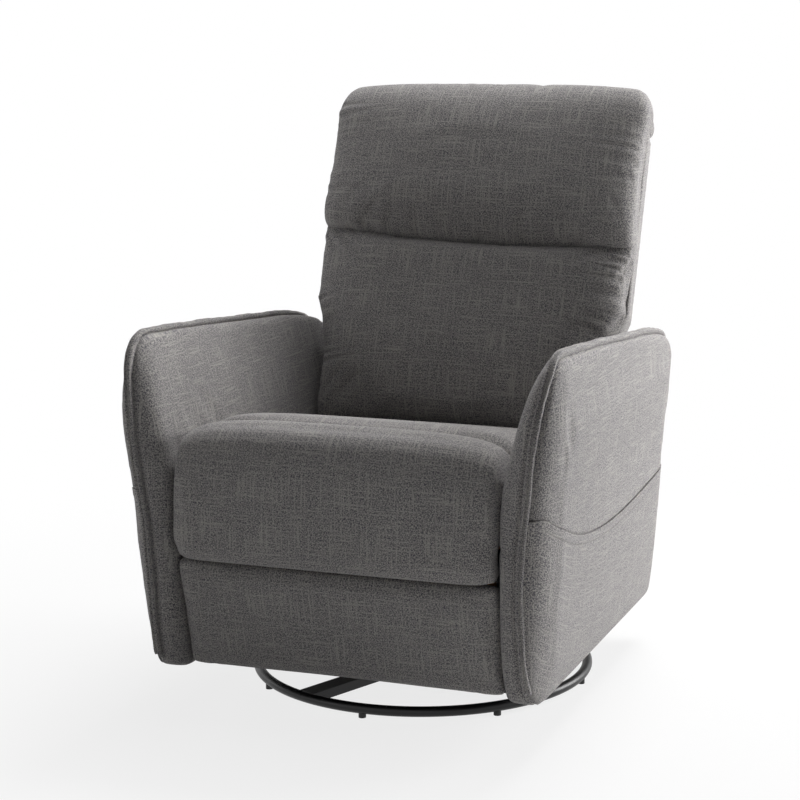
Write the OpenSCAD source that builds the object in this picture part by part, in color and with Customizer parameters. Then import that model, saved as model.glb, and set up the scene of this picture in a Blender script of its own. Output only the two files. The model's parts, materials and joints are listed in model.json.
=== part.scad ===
// Swivel rocker recliner on a ring base, with side pockets.
// The chair faces -Y, +Z is up, and the origin is on the floor under the middle of its length and width.
// All sizes are in millimetres.

/* [Overall] */
// Depth from the front of the arms to the back of the head pillow
overall_d = 960; // [945:5:975]
// Height to the top of the head pillow
overall_h = 1030; // [990:5:1080]
// Clear width between the two arms
seat_gap = 560; // [520:5:620]

/* [Swivel base] */
// Distance from the front of the arms to the swivel axis
swivel_setback = 458; // [440:2:480]
// Radius of the floor ring, to the middle of its tube
ring_r = 300; // [285:1:305]
// Radius of the ring's tube
ring_tube_r = 9; // [8:0.5:10]
// Number of feet under the ring
foot_count = 8; // [6:1:12]
// Radius of a foot
foot_r = 6.5; // [5:0.5:9]
// Height of a foot under the ring
foot_h = 6.5; // [5:0.5:9]
// Turn of the first cross bar, in degrees from +X
bar_turn = 67.5; // [45:0.5:90]
// Width of a cross bar
bar_w = 34; // [28:1:40]
// Thickness of a cross bar
bar_t = 17; // [14:1:17]

/* [Bearing] */
// Thickness of the two bearing plates
bearing_plate_t = 3; // [2.5:0.5:4]
// Width of the lower bearing plate
lower_plate_w = 150; // [144:2:180]
// Radius of the circle that the balls run on
race_r = 56; // [50:1:60]
// Width of a race ring
race_w = 15; // [13:1:17]
// Height of a race ring
race_h = 5; // [4.5:0.5:6]
// Radius of a ball
ball_r = 3.5; // [3:0.25:4]
// Number of balls
ball_count = 24; // [12:1:30]
// Radius of the pivot bolt
pivot_bolt_r = 8; // [6:1:10]

/* [Rocker] */
// Distance from the middle of the chair to a rocker rail
rail_x = 118; // [110:1:124]
// Width of a rocker rail
rail_w = 36; // [30:1:40]
// Height of a rocker rail
rail_h = 28; // [24:1:30]
// Length of a rocker rail
rail_len = 310; // [280:5:330]
// Radius of the rolling edge of a cam
cam_r = 320; // [300:5:360]
// Thickness of a cam
cam_w = 26; // [20:1:30]
// Height of a cam
cam_h = 46; // [42:1:50]
// Length of a cam
cam_len = 296; // [260:4:300]
// Radius of a rocker spring, to the middle of its wire
spring_r = 14; // [11:1:16]
// Radius of the rocker spring wire
spring_wire_r = 2; // [1.5:0.25:2.25]
// Turns of a rocker spring
spring_turns = 4; // [3:1:5]

/* [Mechanism] */
// Distance from the middle of the chair to the inner face of a base plate
base_plate_x = 205; // [195:1:207]
// Thickness of the mechanism's steel plates
sheet_t = 3; // [2.5:0.25:3.5]
// Height of a base plate
base_plate_h = 134; // [130:1:136]
// Forward travel of the seat when the back reclines
seat_travel = 30; // [20:1:30]
// Height of the top of the seat plates above the floor
seat_plate_top = 320; // [316:1:322]
// Thickness of a link
link_t = 4; // [3:0.25:4.5]
// Width of a link
link_w = 20; // [16:1:21]
// Radius of a link rivet
rivet_r = 4; // [3:0.25:5]

/* [Arms] */
// Greatest thickness of an arm
arm_w = 103; // [95:1:115]
// Height of the top of the arms
arm_h = 655; // [630:1:680]
// Height of the arms' lower edge above the floor
arm_clear = 86; // [80:1:92]
// Length of the arms from front to back
arm_d = 810; // [790:2:816]
// Depth of the side pocket
pocket_depth = 170; // [120:5:190]
// Opening of the side pocket from front to back
pocket_len = 700; // [500:5:730]
// Width of the flat welt along the arm's outer edge
welt_w = 9; // [7:0.5:12]

/* [Seat] */
// Height of the crest of the seat
seat_h = 516; // [500:1:530]
// Height of the rear edge of the seat
seat_rear_h = 437; // [430:1:445]
// Height of the crease above the footrest
crease_h = 289; // [289:0.5:292]
// Distance from the front of the arms to the rear end of the seat cushion
seat_len = 598; // [590:1:600]
// Height of the seat frame's rails
seat_rail_h = 24; // [20:1:26]

/* [Back] */
// Greatest width of the back
back_w = 636; // [610:2:650]
// Thickness of the outside back
shell_t = 95; // [85:1:105]
// Depth of the lumbar pillow
lumbar_t = 80; // [70:1:84]
// Depth of the head pillow
head_t = 92; // [80:1:98]
// Height of the seam between the two pillows
pillow_seam_h = 776; // [760:1:790]

/* [Footrest] */
// Length of the footrest panel from its top to its bottom
footrest_len = 190; // [180:1:192]
// Thickness of the footrest pad
pad_t = 30; // [24:1:32]
// Thickness of the footrest board
board_t = 15; // [12:1:16]
// Lean of the closed footrest from upright, in degrees
footrest_lean = 14.2; // [10:0.2:16]

/* [Hidden] */
$fn = 64;

// Clearances and overruns
weld_gap = 0.02;
run_gap = 0.05;
groove_gap = 0.15;
rock_gap = 0.3;
soft_gap = 0.4;
over = 1;

// Levels of the swivel base
ring_z = foot_h + ring_tube_r;
bar_bottom = ring_z - bar_t / 2;
lower_plate_z = bar_bottom + bar_t;
lower_race_z = lower_plate_z + bearing_plate_t;
race_gap = 2;
ball_z = lower_race_z + race_h + race_gap / 2;
upper_race_z = lower_race_z + race_h + race_gap;
upper_plate_z = upper_race_z + race_h;
rail_z = upper_plate_z + bearing_plate_t;
rail_top = rail_z + rail_h;
rail_wall = 3;
cam_top = rail_top + rock_gap + cam_h;
rock_z = rail_top + rock_gap + cam_r;
bolt_head_h = 4;
bolt_head_over = 6;
bolt_head_r = pivot_bolt_r + bolt_head_over;
nut_h = 4.5;

// Places along the chair
front_y = -overall_d / 2;
swivel_y = front_y + swivel_setback;
upper_plate_w = 2 * rail_x + rail_w;
upper_plate_len = 180;

// Mechanism planes, counted outwards from the middle of the chair
plate_gap = 6;
seat_plate_x = base_plate_x + sheet_t + plate_gap;
layer_gap = 1;
rivet_head_over = 2.5;
rivet_head = 1;
drive_x = seat_plate_x + sheet_t + 3 * layer_gap;
extension_x = drive_x + link_t + layer_gap;
control_x = extension_x + link_t + rivet_head + layer_gap / 2;
latch_gap = 3;
latch_x = control_x + link_t + latch_gap;
latch_t = 4;
spring_plane_x = latch_x + latch_t + 2 * latch_gap;

// Pivots of the footrest linkage with the footrest closed, as [y, z]
drive_pivot_back = 310;
drive_pivot_z = 265;
drive_pivot = [front_y + drive_pivot_back, drive_pivot_z];
elbow_run = 174;
elbow_drop = 70;
elbow_pivot = [drive_pivot[0] + elbow_run, drive_pivot[1] - elbow_drop];
board_pivot_back = 125;
board_pivot_z = 205;
board_pivot = [front_y + board_pivot_back, board_pivot_z];
control_run = 49;
control_rise = 10;
control_pivot = [drive_pivot[0] - control_run, drive_pivot[1] + control_rise];
control_along = 57;
extension_dir = (board_pivot - elbow_pivot) / norm(board_pivot - elbow_pivot);
control_joint = elbow_pivot + control_along * extension_dir;
control_dir = (control_joint - control_pivot) / norm(control_joint - control_pivot);
stud_along = 50;
spring_stud = control_pivot + stud_along * control_dir;
torque_r = 8;
torque_wall = 2;

// Slide rollers between the base plates and the seat plates, as [y, z]
roller_r = 5;
roller_z = 235;
roller_front_run = 128;
roller_rear_run = 112;
roller_places = [[swivel_y - roller_front_run, roller_z], [swivel_y + roller_rear_run, roller_z]];

// Back hinge
back_pivot_back = 630;
back_pivot_z = 345;
back_pivot = [front_y + back_pivot_back, back_pivot_z];
hinge_r = 5;
ear_r = 16;

// Arm
arm_x = seat_gap / 2;
arm_rise = arm_h - arm_clear;
arm_board_t = 18;
arm_board_in = 22;
arm_board_inset = 16;
arm_board_top_share = 0.68;
pocket_cloth_t = 4;
pocket_space = 12;
mouth_notch = 12;
welt_t = 3;
welt_seat = 0.25;
pocket_edge = 25;

// Section of an arm across the chair, from its lower inner corner, in shares of its width and rise
arm_section_shares = [
    [0, 0.004], [0.03, 0], [0.58, 0], [0.63, 0.02], [0.65, 0.06], [0.72, 0.165], [0.767, 0.27],
    [0.82, 0.394], [0.845, 0.5], [0.883, 0.587], [0.951, 0.692], [0.99, 0.77], [1, 0.83],
    [0.985, 0.9], [0.951, 0.957], [0.88, 0.988], [0.78, 1], [0.67, 0.995], [0.563, 0.968],
    [0.46, 0.93], [0.37, 0.886], [0.243, 0.798], [0.087, 0.675], [0.02, 0.6], [0, 0.552]
];
// Side view of an arm, from its lower front corner, in shares of its length and rise
arm_side_shares = [
    [0.1, 0], [0.075, 0.014], [0.0605, 0.042], [0.0407, 0.1125], [0.031, 0.2], [0.0235, 0.288],
    [0.0185, 0.376], [0.0165, 0.464], [0.0125, 0.552], [0.0074, 0.64], [0.0037, 0.728],
    [0.0099, 0.815], [0.0284, 0.903], [0.0481, 0.956], [0.075, 0.994], [0.11, 1], [0.222, 0.9895],
    [0.37, 0.974], [0.568, 0.951], [0.765, 0.931], [0.86, 0.9], [0.93, 0.86], [0.975, 0.79],
    [0.995, 0.7], [1, 0.6], [1, 0.16], [0.992, 0.07], [0.965, 0.018], [0.93, 0]
];
// Mouth of the side pocket, from the arm's front, in shares of its length and rise
mouth_shares = [
    [0.03, 0.552], [0.08, 0.53], [0.16, 0.49], [0.26, 0.455], [0.4, 0.432], [0.55, 0.425],
    [0.7, 0.43], [0.85, 0.44], [1.05, 0.452]
];
// Route of the welt up the front: place across the arm and front to back, and rise, in shares
welt_front_shares = [
    [0.456, 0.0605, 0.042], [0.417, 0.0407, 0.1125], [0.408, 0.031, 0.2], [0.398, 0.0235, 0.288],
    [0.408, 0.0185, 0.376], [0.437, 0.0165, 0.464], [0.495, 0.0125, 0.552], [0.553, 0.0074, 0.64],
    [0.602, 0.0037, 0.728], [0.66, 0.0099, 0.815], [0.738, 0.0284, 0.903], [0.777, 0.0481, 0.956],
    [0.79, 0.075, 0.994]
];
// Route of the welt along the top to the rear: place across, front to back, and rise, in shares
welt_top_shares = [
    [0.79, 0.11, 1], [0.8, 0.222, 0.9895], [0.8, 0.37, 0.974], [0.8, 0.568, 0.951],
    [0.8, 0.765, 0.931], [0.8, 0.86, 0.9], [0.8, 0.93, 0.86], [0.8, 0.975, 0.79], [0.8, 0.995, 0.7]
];

// Seat
seat_half = arm_x - soft_gap;
seat_rear_y = front_y + seat_len;
roll_front = 5;
roll_face_y = front_y + roll_front;
roll_len = 123;
roll_back_y = roll_face_y + roll_len;
seam_gap = 2;
seam_dip = 11;
seat_base_z = seat_plate_top + seat_rail_h;
lip_t = 34;
lip_back_y = roll_face_y + lip_t;
seat_rail_w = 40;
seat_frame_half = 250;
seat_frame_front = lip_back_y + seam_gap;
tab_slot_back = 370;
tab_slot_y = front_y + tab_slot_back;
tab_slot_w = 32;
tab_slot_d = 5;

// Back, in its own frame: v points out of the back towards the sitter, w runs up the lean
back_line_back = 636;
back_line_z = 400;
back_line = [front_y + back_line_back, back_line_z];
pillow_gap = 1.5;
// The head pillow's highest row reaches the overall height, and its rearmost row the overall depth
crest_share = 0.975;
crest_front_share = 0.3;
rearmost_share = 0.87;
rearmost_depth_share = 0.98;
function seam_rise(lean) = pillow_seam_h - back_line[1] + pillow_gap * cos(lean);
function crest_rise(lean) = overall_h - back_line[1] - crest_front_share * head_t * sin(lean);
function rearmost_rise(lean) =
    seam_rise(lean) + (crest_rise(lean) - seam_rise(lean)) * rearmost_share / crest_share;
rearmost_run = overall_d / 2 - back_line[0];
// The lean that takes the rearmost row there, found by going round a few times
function lean_of(guess, rounds) = rounds == 0 ? guess : lean_of(
    atan((rearmost_run - rearmost_depth_share * shell_t * cos(guess)) / rearmost_rise(guess)), rounds - 1);
lean_rounds = 12;
back_lean = lean_of(20, lean_rounds);
up_dir = [sin(back_lean), cos(back_lean)];
function at_back(v, w) = back_line + w * up_dir + v * [-cos(back_lean), sin(back_lean)];
pillow_seam_w = (pillow_seam_h - back_line[1]) / cos(back_lean);
head_low_w = pillow_seam_w + pillow_gap;
crest_w = crest_rise(back_lean) / cos(back_lean);
back_top_w = head_low_w + (crest_w - head_low_w) / crest_share;
echo(back_lean = back_lean);
back_side_gap = 3;
lower_back_w = 2 * (arm_x - back_side_gap);
back_rail_t = 28;
shell_wall = 12;
bracket_slot = 8;
frame_post_w = 28;
bracket_rise = 190;

// Footrest, in its own frame: n points out of the closed panel, u runs up it
footrest_mid_back = 49;
footrest_mid_z = 190;
footrest_mid = [front_y + footrest_mid_back, footrest_mid_z];
footrest_side_gap = 1.5;
footrest_half_w = arm_x - footrest_side_gap;

// Soft pieces are lofted through rings of points
loft_steps = 14;

// Geometry helpers

// Turns a drawing in the (y, z) plane so that its height runs along +X from x0
module on_side(x0) {
    translate([x0, 0, 0]) rotate([90, 0, 90]) children();
}

module both_sides() {
    children();
    mirror([1, 0, 0]) children();
}

// A flat bar drawn between two points, with round ends
module bar_outline(p, q, w) {
    d = (q - p) / norm(q - p);
    n = [-d[1], d[0]] * w / 2;
    polygon([p + n, p - n, q - n, q + n]);
    translate(p) circle(r = w / 2);
    translate(q) circle(r = w / 2);
}

module hole_at(p, r) {
    translate(p) circle(r = r);
}

// A rivet along X through the point p, with a flat head at each end
module rivet(p, x0, x1, r, head) {
    on_side(x0) translate(p) cylinder(r = r, h = x1 - x0);
    on_side(x0 - head) translate(p) cylinder(r = r + rivet_head_over, h = head);
    on_side(x1) translate(p) cylinder(r = r + rivet_head_over, h = head);
}

// A closed solid through equal rings of points, capped at both ends
module loft(rings) {
    n = len(rings[0]);
    m = len(rings);
    function middle(ring) = [for (k = [0:2]) let (s = [for (p = ring) p[k]]) total(s) / len(s)];
    points = [for (ring = rings) for (p = ring) p, middle(rings[0]), middle(rings[m - 1])];
    sides = [for (j = [0:m - 2]) for (i = [0:n - 1]) let (k = (i + 1) % n)
        each [[j * n + i, j * n + k, (j + 1) * n + i], [j * n + k, (j + 1) * n + k, (j + 1) * n + i]]];
    first = [for (i = [0:n - 1]) [(i + 1) % n, i, m * n]];
    last = [for (i = [0:n - 1]) [(m - 1) * n + i, (m - 1) * n + (i + 1) % n, m * n + 1]];
    polyhedron(points, concat(sides, first, last), convexity = 6);
}
function total(list, i = 0) = i < len(list) ? list[i] + total(list, i + 1) : 0;

// Fullness of a cushion across its width, at a share of its half width
function fullness(s, power) = pow(max(1 - pow(abs(s), power), 0), 1 / power);

// A cushion whose (y, z) outline is drawn in towards its sides
module side_cushion(outline, half, centre, low, power, drop) {
    stations = [-1, -0.985, -0.95, -0.88, -0.76, -0.56, -0.3, 0, 0.3, 0.56, 0.76, 0.88, 0.95, 0.985, 1];
    loft([for (s = stations) let (
            full = fullness(s, power),
            ky = 1 - drop[0] * (1 - full),
            kz = 1 - drop[1] * (1 - full)
        ) [for (p = outline) [
            s * half,
            centre + (p[0] - centre) * ky,
            p[1] > low ? low + (p[1] - low) * kz : p[1]
        ]]]);
}

// Swivel base

module base_ring() {
    color("black") translate([0, swivel_y, ring_z])
        rotate_extrude() translate([ring_r, 0]) circle(r = ring_tube_r);
}

module base_cross() {
    color("black") translate([0, swivel_y, 0]) difference() {
        for (turn = [0, 90]) rotate([0, 0, bar_turn + turn])
            translate([-ring_r, -bar_w / 2, bar_bottom]) cube([2 * ring_r, bar_w, bar_t]);
        translate([0, 0, ring_z]) rotate_extrude()
            translate([ring_r, 0]) circle(r = ring_tube_r + weld_gap);
        // What lies past the middle of the ring's tube is cut away
        translate([0, 0, bar_bottom - over]) difference() {
            cylinder(r = ring_r + ring_tube_r, h = bar_t + 2 * over);
            translate([0, 0, -over]) cylinder(r = ring_r, h = bar_t + 4 * over);
        }
        translate([0, 0, bar_bottom - over])
            cylinder(r = pivot_bolt_r + run_gap, h = bar_t + 2 * over);
    }
}

module base_feet() {
    foot_socket = ring_tube_r / 2;
    color("black") for (i = [0:foot_count - 1])
        translate([0, swivel_y, 0]) rotate([0, 0, i * 360 / foot_count]) difference() {
            translate([ring_r, 0, 0]) cylinder(r = foot_r, h = foot_h + foot_socket);
            translate([0, 0, ring_z]) rotate_extrude()
                translate([ring_r, 0]) circle(r = ring_tube_r + weld_gap);
        }
}

module square_plate(w, l, z, t, hole) {
    translate([0, swivel_y, z]) difference() {
        translate([-w / 2, -l / 2, 0]) cube([w, l, t]);
        translate([0, 0, -over]) cylinder(r = hole, h = t + 2 * over);
    }
}

module lower_bearing_plate() {
    color("dimgray") square_plate(lower_plate_w, lower_plate_w, lower_plate_z, bearing_plate_t,
        pivot_bolt_r + run_gap);
}

module race(z) {
    translate([0, swivel_y, 0]) rotate_extrude() difference() {
        translate([race_r - race_w / 2, z]) square([race_w, race_h]);
        translate([race_r, ball_z]) circle(r = ball_r + groove_gap);
    }
}

module lower_race() {
    color("silver") race(lower_race_z);
}

module bearing_balls() {
    color("silver") translate([0, swivel_y, ball_z]) for (i = [0:ball_count - 1])
        rotate([0, 0, i * 360 / ball_count]) translate([race_r, 0, 0]) sphere(r = ball_r);
}

cage_height_share = 0.6;
cage_width_share = 0.8;

module ball_cage() {
    cage_t = race_gap * cage_height_share;
    cage_w = race_w * cage_width_share;
    color("tan") translate([0, swivel_y, ball_z - cage_t / 2]) difference() {
        cylinder(r = race_r + cage_w / 2, h = cage_t);
        translate([0, 0, -over]) cylinder(r = race_r - cage_w / 2, h = cage_t + 2 * over);
        for (i = [0:ball_count - 1]) rotate([0, 0, i * 360 / ball_count])
            translate([race_r, 0, -over]) cylinder(r = ball_r + groove_gap, h = cage_t + 2 * over);
    }
}

module pivot_bolt() {
    washer_gap = 0.2;
    head_z = rail_z + washer_gap;
    color("silver") translate([0, swivel_y, 0]) {
        translate([0, 0, bar_bottom - nut_h]) cylinder(r = pivot_bolt_r, h = head_z - bar_bottom + nut_h);
        translate([0, 0, head_z]) cylinder(r = bolt_head_r, h = bolt_head_h);
        translate([0, 0, bar_bottom - nut_h]) difference() {
            cylinder(r = bolt_head_r - over, h = nut_h, $fn = 6);
            translate([0, 0, -over])
                cylinder(r = pivot_bolt_r + weld_gap, h = nut_h + 2 * over);
        }
    }
}

// Turning part of the base

module upper_bearing_plate() {
    color("dimgray") square_plate(upper_plate_w, upper_plate_len, upper_plate_z, bearing_plate_t,
        pivot_bolt_r + run_gap);
}

module upper_race() {
    color("silver") race(upper_race_z);
}

module rocker_rails() {
    color("dimgray") both_sides()
        translate([rail_x - rail_w / 2, swivel_y - rail_len / 2, rail_z]) difference() {
            cube([rail_w, rail_len, rail_h]);
            translate([rail_wall, -over, -over])
                cube([rail_w - 2 * rail_wall, rail_len + 2 * over, rail_h - rail_wall + over]);
        }
}

spring_bracket_over = 7;
spring_bracket_w = 2 * (spring_r + spring_bracket_over);
spring_bracket_len = 190;
spring_x = rail_x + rail_w / 2 + spring_bracket_w / 2;
spring_span = 60;
spring_bracket_t = 4;
spring_low = rail_top - spring_bracket_t;
spring_high = cam_top - spring_bracket_t;

module spring_lower_brackets() {
    color("dimgray") both_sides()
        translate([rail_x + rail_w / 2, swivel_y - spring_bracket_len / 2, spring_low - spring_bracket_t])
            cube([spring_bracket_w, spring_bracket_len, spring_bracket_t]);
}

// A wound spring along +Z with straight ends of no length, as one tube
module coil(r, wire, h, turns) {
    rings_per_turn = 8;
    sides = 6;
    count = turns * rings_per_turn;
    rise = (h - 2 * wire) / count;
    loft([for (i = [0:count]) let (a = i * 360 / rings_per_turn)
        [for (k = [0:sides - 1]) let (b = -k * 360 / sides)
            [(r + wire * cos(b)) * cos(a), (r + wire * cos(b)) * sin(a), wire + i * rise + wire * sin(b)]]]);
}

module rocker_springs() {
    h = spring_high - spring_low;
    color("silver") both_sides() for (side = [-1, 1])
        translate([spring_x, swivel_y + side * spring_span, spring_low + weld_gap])
            coil(spring_r, spring_wire_r, h - 2 * weld_gap, spring_turns);
}
spring_pitch = (spring_high - spring_low - 2 * spring_wire_r) / spring_turns;
echo(rocker_spring_self_gap = spring_pitch - 2 * spring_wire_r);

// Rocking part

module rocker_cams() {
    color("peru") both_sides() intersection() {
        on_side(rail_x - cam_w / 2) translate([swivel_y, rock_z]) cylinder(r = cam_r, h = cam_w, $fn = 180);
        translate([rail_x - cam_w / 2 - over, swivel_y - cam_len / 2, rail_top])
            cube([cam_w + 2 * over, cam_len, cam_top - rail_top]);
    }
}

module spring_upper_brackets() {
    reach = spring_x + spring_bracket_w / 2 - rail_x - cam_w / 2;
    color("dimgray") both_sides()
        translate([rail_x + cam_w / 2, swivel_y - spring_bracket_len / 2, spring_high])
            cube([reach, spring_bracket_len, spring_bracket_t]);
}

angle_w = 30;
angle_t = 3;
angle_span = cam_len / 2 - angle_w;

module cross_angles() {
    color("dimgray") for (side = [-1, 1]) translate([0, swivel_y, cam_top]) scale([1, side, 1])
        translate([-base_plate_x, angle_span, 0]) {
            cube([2 * base_plate_x, angle_w, angle_t]);
            cube([2 * base_plate_x, angle_t, angle_w]);
        }
}

base_plate_front_run = 200;
base_plate_front = swivel_y - base_plate_front_run;
base_plate_back = 750;
base_plate_rear = front_y + base_plate_back;

module base_plates() {
    color("dimgray") both_sides() on_side(base_plate_x) linear_extrude(sheet_t) difference() {
        translate([base_plate_front, cam_top])
            square([base_plate_rear - base_plate_front, base_plate_h]);
        for (p = roller_places) hole_at(p, roller_r + weld_gap);
    }
}

module slide_rollers() {
    x0 = base_plate_x - rivet_head;
    x1 = seat_plate_x + sheet_t + layer_gap / 2;
    color("silver") both_sides() for (p = roller_places) {
        on_side(x0) translate(p) cylinder(r = roller_r, h = x1 - x0);
        on_side(x0 - rivet_head) translate(p) cylinder(r = roller_r + rivet_head_over, h = rivet_head);
        on_side(x1) translate(p) cylinder(r = roller_r + rivet_head_over, h = rivet_head);
    }
}

arm_bracket_w = 40;
arm_bracket_z = 150;
arm_bracket_back = 560;
arm_bracket_places = [front_y + arm_bracket_back, base_plate_rear - arm_bracket_w];

module arm_brackets() {
    x0 = base_plate_x + sheet_t;
    color("dimgray") both_sides() for (y = arm_bracket_places)
        translate([x0, y, arm_bracket_z]) {
            cube([arm_x - x0, arm_bracket_w, angle_t]);
            cube([angle_t, arm_bracket_w, angle_w]);
            translate([arm_x - x0 - angle_t, 0, 0]) cube([angle_t, arm_bracket_w, angle_w]);
        }
}

rear_rail_t = 19;
rear_panel_t = 22;
rear_panel_rise = 14;
rear_low = arm_clear + rear_panel_rise;
rear_high = 285;
rear_lip_high = 328;
rear_panel_inset = 4;
rear_panel_y = front_y + arm_d - rear_panel_t - rear_panel_inset;
rear_lip_run = 54;
rear_lip_y = rear_panel_y - rear_lip_run;

module rear_rail() {
    color("burlywood") translate([-arm_x, rear_panel_y - rear_rail_t, rear_low + over])
        cube([2 * arm_x, rear_rail_t, rear_high - rear_low - rear_rail_t]);
}

module rear_panel() {
    bulge = 4;
    color("slategray") translate([-arm_x, 0, 0]) rotate([90, 0, 90]) linear_extrude(2 * arm_x)
        polygon([
            [rear_panel_y, rear_low], [rear_panel_y + rear_panel_t - bulge, rear_low],
            [rear_panel_y + rear_panel_t, rear_low + 4 * bulge],
            [rear_panel_y + rear_panel_t, rear_high - 4 * bulge],
            [rear_panel_y + rear_panel_t - bulge, rear_high],
            [rear_lip_y, rear_lip_high], [rear_lip_y - bulge, rear_lip_high - 2 * bulge],
            [rear_panel_y, rear_high - 4 * bulge]
        ]);
}

stretcher_w = 22;
stretcher_t = 12;
stretcher_back = 120;
stretcher_drop = 2;
stretcher_y = front_y + stretcher_back;
stretcher_z = arm_clear - stretcher_drop;

module front_stretcher() {
    wall = 2;
    color("black") translate([-arm_x, stretcher_y, stretcher_z]) difference() {
        cube([2 * arm_x, stretcher_w, stretcher_t]);
        translate([-over, wall, wall])
            cube([2 * arm_x + 2 * over, stretcher_w - 2 * wall, stretcher_t - 2 * wall]);
    }
}

// Arms. Each is drawn for the sitter's left, at +X, and mirrored for the right.

module arm_envelope() {
    depth = arm_d + 2 * over;
    intersection() {
        translate([arm_x, front_y + arm_d + over, arm_clear]) rotate([90, 0, 0]) linear_extrude(depth)
            polygon([for (p = arm_section_shares) [p[0] * arm_w, p[1] * arm_rise]]);
        side_slab();
    }
}

module arm_board_outline() {
    low = arm_clear + arm_board_inset;
    first = front_y + 5 * arm_board_inset;
    last = front_y + arm_d - 2 * arm_board_inset;
    top = arm_clear + arm_board_top_share * arm_rise;
    polygon([[first, low], [last, low], [last, top - 2 * arm_board_inset], [last - 2 * arm_board_inset, top],
        [first, top]]);
}

module arm_board() {
    on_side(arm_x + arm_board_in) linear_extrude(arm_board_t) arm_board_outline();
}

module arm_split() {
    split = arm_x + arm_board_in + arm_board_t / 2;
    translate([split, front_y - over, 0]) cube([arm_w, arm_d + 2 * over, arm_h + over]);
}

// A band of the arm's outer side, between two depths under its surface
outer_first = 3;
outer_last = 10;
module outer_band(from, to) {
    near = [for (i = [outer_first:outer_last])
        [arm_section_shares[i][0] * arm_w - from, arm_section_shares[i][1] * arm_rise]];
    far = [for (i = [outer_last:-1:outer_first])
        [arm_section_shares[i][0] * arm_w - to, arm_section_shares[i][1] * arm_rise]];
    translate([arm_x, front_y + arm_d + over, arm_clear]) rotate([90, 0, 0])
        linear_extrude(arm_d + 2 * over) polygon(concat(near, far));
}

// What lies under the pocket's mouth, as a slab across the arm
module under_mouth(raise = 0) {
    floor_z = arm_clear + arm_section_shares[outer_first][1] * arm_rise + over;
    mouth = [for (p = mouth_shares) [front_y + p[0] * arm_d, arm_clear + p[1] * arm_rise + raise]];
    on_side(arm_x) linear_extrude(arm_w + 2 * over)
        polygon(concat([[mouth[0][0], floor_z]], mouth, [[mouth[len(mouth) - 1][0], floor_z]]));
}

module side_slab() {
    translate([0, front_y, arm_clear]) on_side(arm_x - over) linear_extrude(arm_w + 2 * over)
        polygon([for (p = arm_side_shares) [p[0] * arm_d, p[1] * arm_rise]]);
}

module pocket_hollow() {
    first = front_y + (arm_d - pocket_len) / 2;
    mouth_low = arm_clear + mouth_shares[5][1] * arm_rise;
    intersection() {
        outer_band(pocket_cloth_t, pocket_cloth_t + pocket_space + over);
        translate([arm_x, first, mouth_low - pocket_depth]) cube([arm_w, pocket_len, arm_h]);
    }
}

module arm_frame() {
    color("burlywood") arm_board();
}

module arm_pad() {
    color("slategray") difference() {
        arm_envelope();
        arm_split();
        arm_board();
    }
}

module arm_outer_panel() {
    color("slategray") difference() {
        intersection() {
            arm_envelope();
            arm_split();
        }
        intersection() {
            outer_band(-over, pocket_cloth_t + pocket_space);
            under_mouth(mouth_notch);
        }
        arm_board();
    }
}

module arm_pocket() {
    color("slategray") difference() {
        intersection() {
            outer_band(0, pocket_cloth_t + pocket_space);
            under_mouth();
            side_slab();
        }
        pocket_hollow();
    }
}

// The welt is a flat band that stands on the arm's surface along its route
module arm_welt() {
    front = [for (p = welt_front_shares)
        [arm_x + p[0] * arm_w, front_y + p[1] * arm_d, arm_clear + p[2] * arm_rise]];
    top = [for (p = welt_top_shares)
        [arm_x + p[0] * arm_w, front_y + p[1] * arm_d, arm_clear + p[2] * arm_rise]];
    route = concat(front, top);
    last = len(route) - 1;
    rings = [for (i = [0:last]) let (
            a = route[max(i - 1, 0)],
            b = route[min(i + 1, last)],
            d = (b - a) / norm(b - a),
            across = [1, 0, 0] - d[0] * d,
            side = across / norm(across),
            out = cross(side, d),
            w = side * welt_w / 2
        ) [
            route[i] - w + out * welt_seat, route[i] + w + out * welt_seat,
            route[i] + w + out * welt_t, route[i] - w + out * welt_t
        ]];
    color("dimgray") loft(rings);
}

// Seat

module seat_plate_outline() {
    rear = back_pivot[0] + ear_r;
    low = roller_z - seat_plate_under;
    first = front_y + seat_plate_back;
    difference() {
        union() {
            translate([first, low]) square([rear - first, seat_plate_top - low]);
            translate([back_pivot[0] - ear_r, low]) square([2 * ear_r, back_pivot[1] - low]);
            hole_at(back_pivot, ear_r);
        }
        hole_at(back_pivot, hinge_r + weld_gap);
        hole_at(drive_pivot, torque_r + run_gap);
        hole_at(control_pivot, rivet_r + weld_gap);
        hole_at(latch_pivot, rivet_r + weld_gap);
        hole_at(spring_post, rivet_r + weld_gap);
        for (p = roller_places) {
            hole_at(p, roller_r + 2 * run_gap);
            hole_at(p + [seat_travel, 0], roller_r + 2 * run_gap);
            translate(p - [0, roller_r + 2 * run_gap])
                square([seat_travel, 2 * (roller_r + 2 * run_gap)]);
        }
    }
}

seat_plate_under = 13;
seat_plate_back = 225;
latch_run = 40;
latch_drop = 20;
latch_pivot = [drive_pivot[0] + latch_run, seat_plate_top - latch_drop];
spring_post_run = 230;
spring_post_z = 285;
spring_post = [drive_pivot[0] + spring_post_run, spring_post_z];

module fixed_pin(p, x1, r) {
    x0 = seat_plate_x - rivet_head;
    on_side(x0) translate(p) cylinder(r = r, h = x1 - x0);
    on_side(x1) translate(p) cylinder(r = r + rivet_head_over, h = rivet_head);
}

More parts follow.
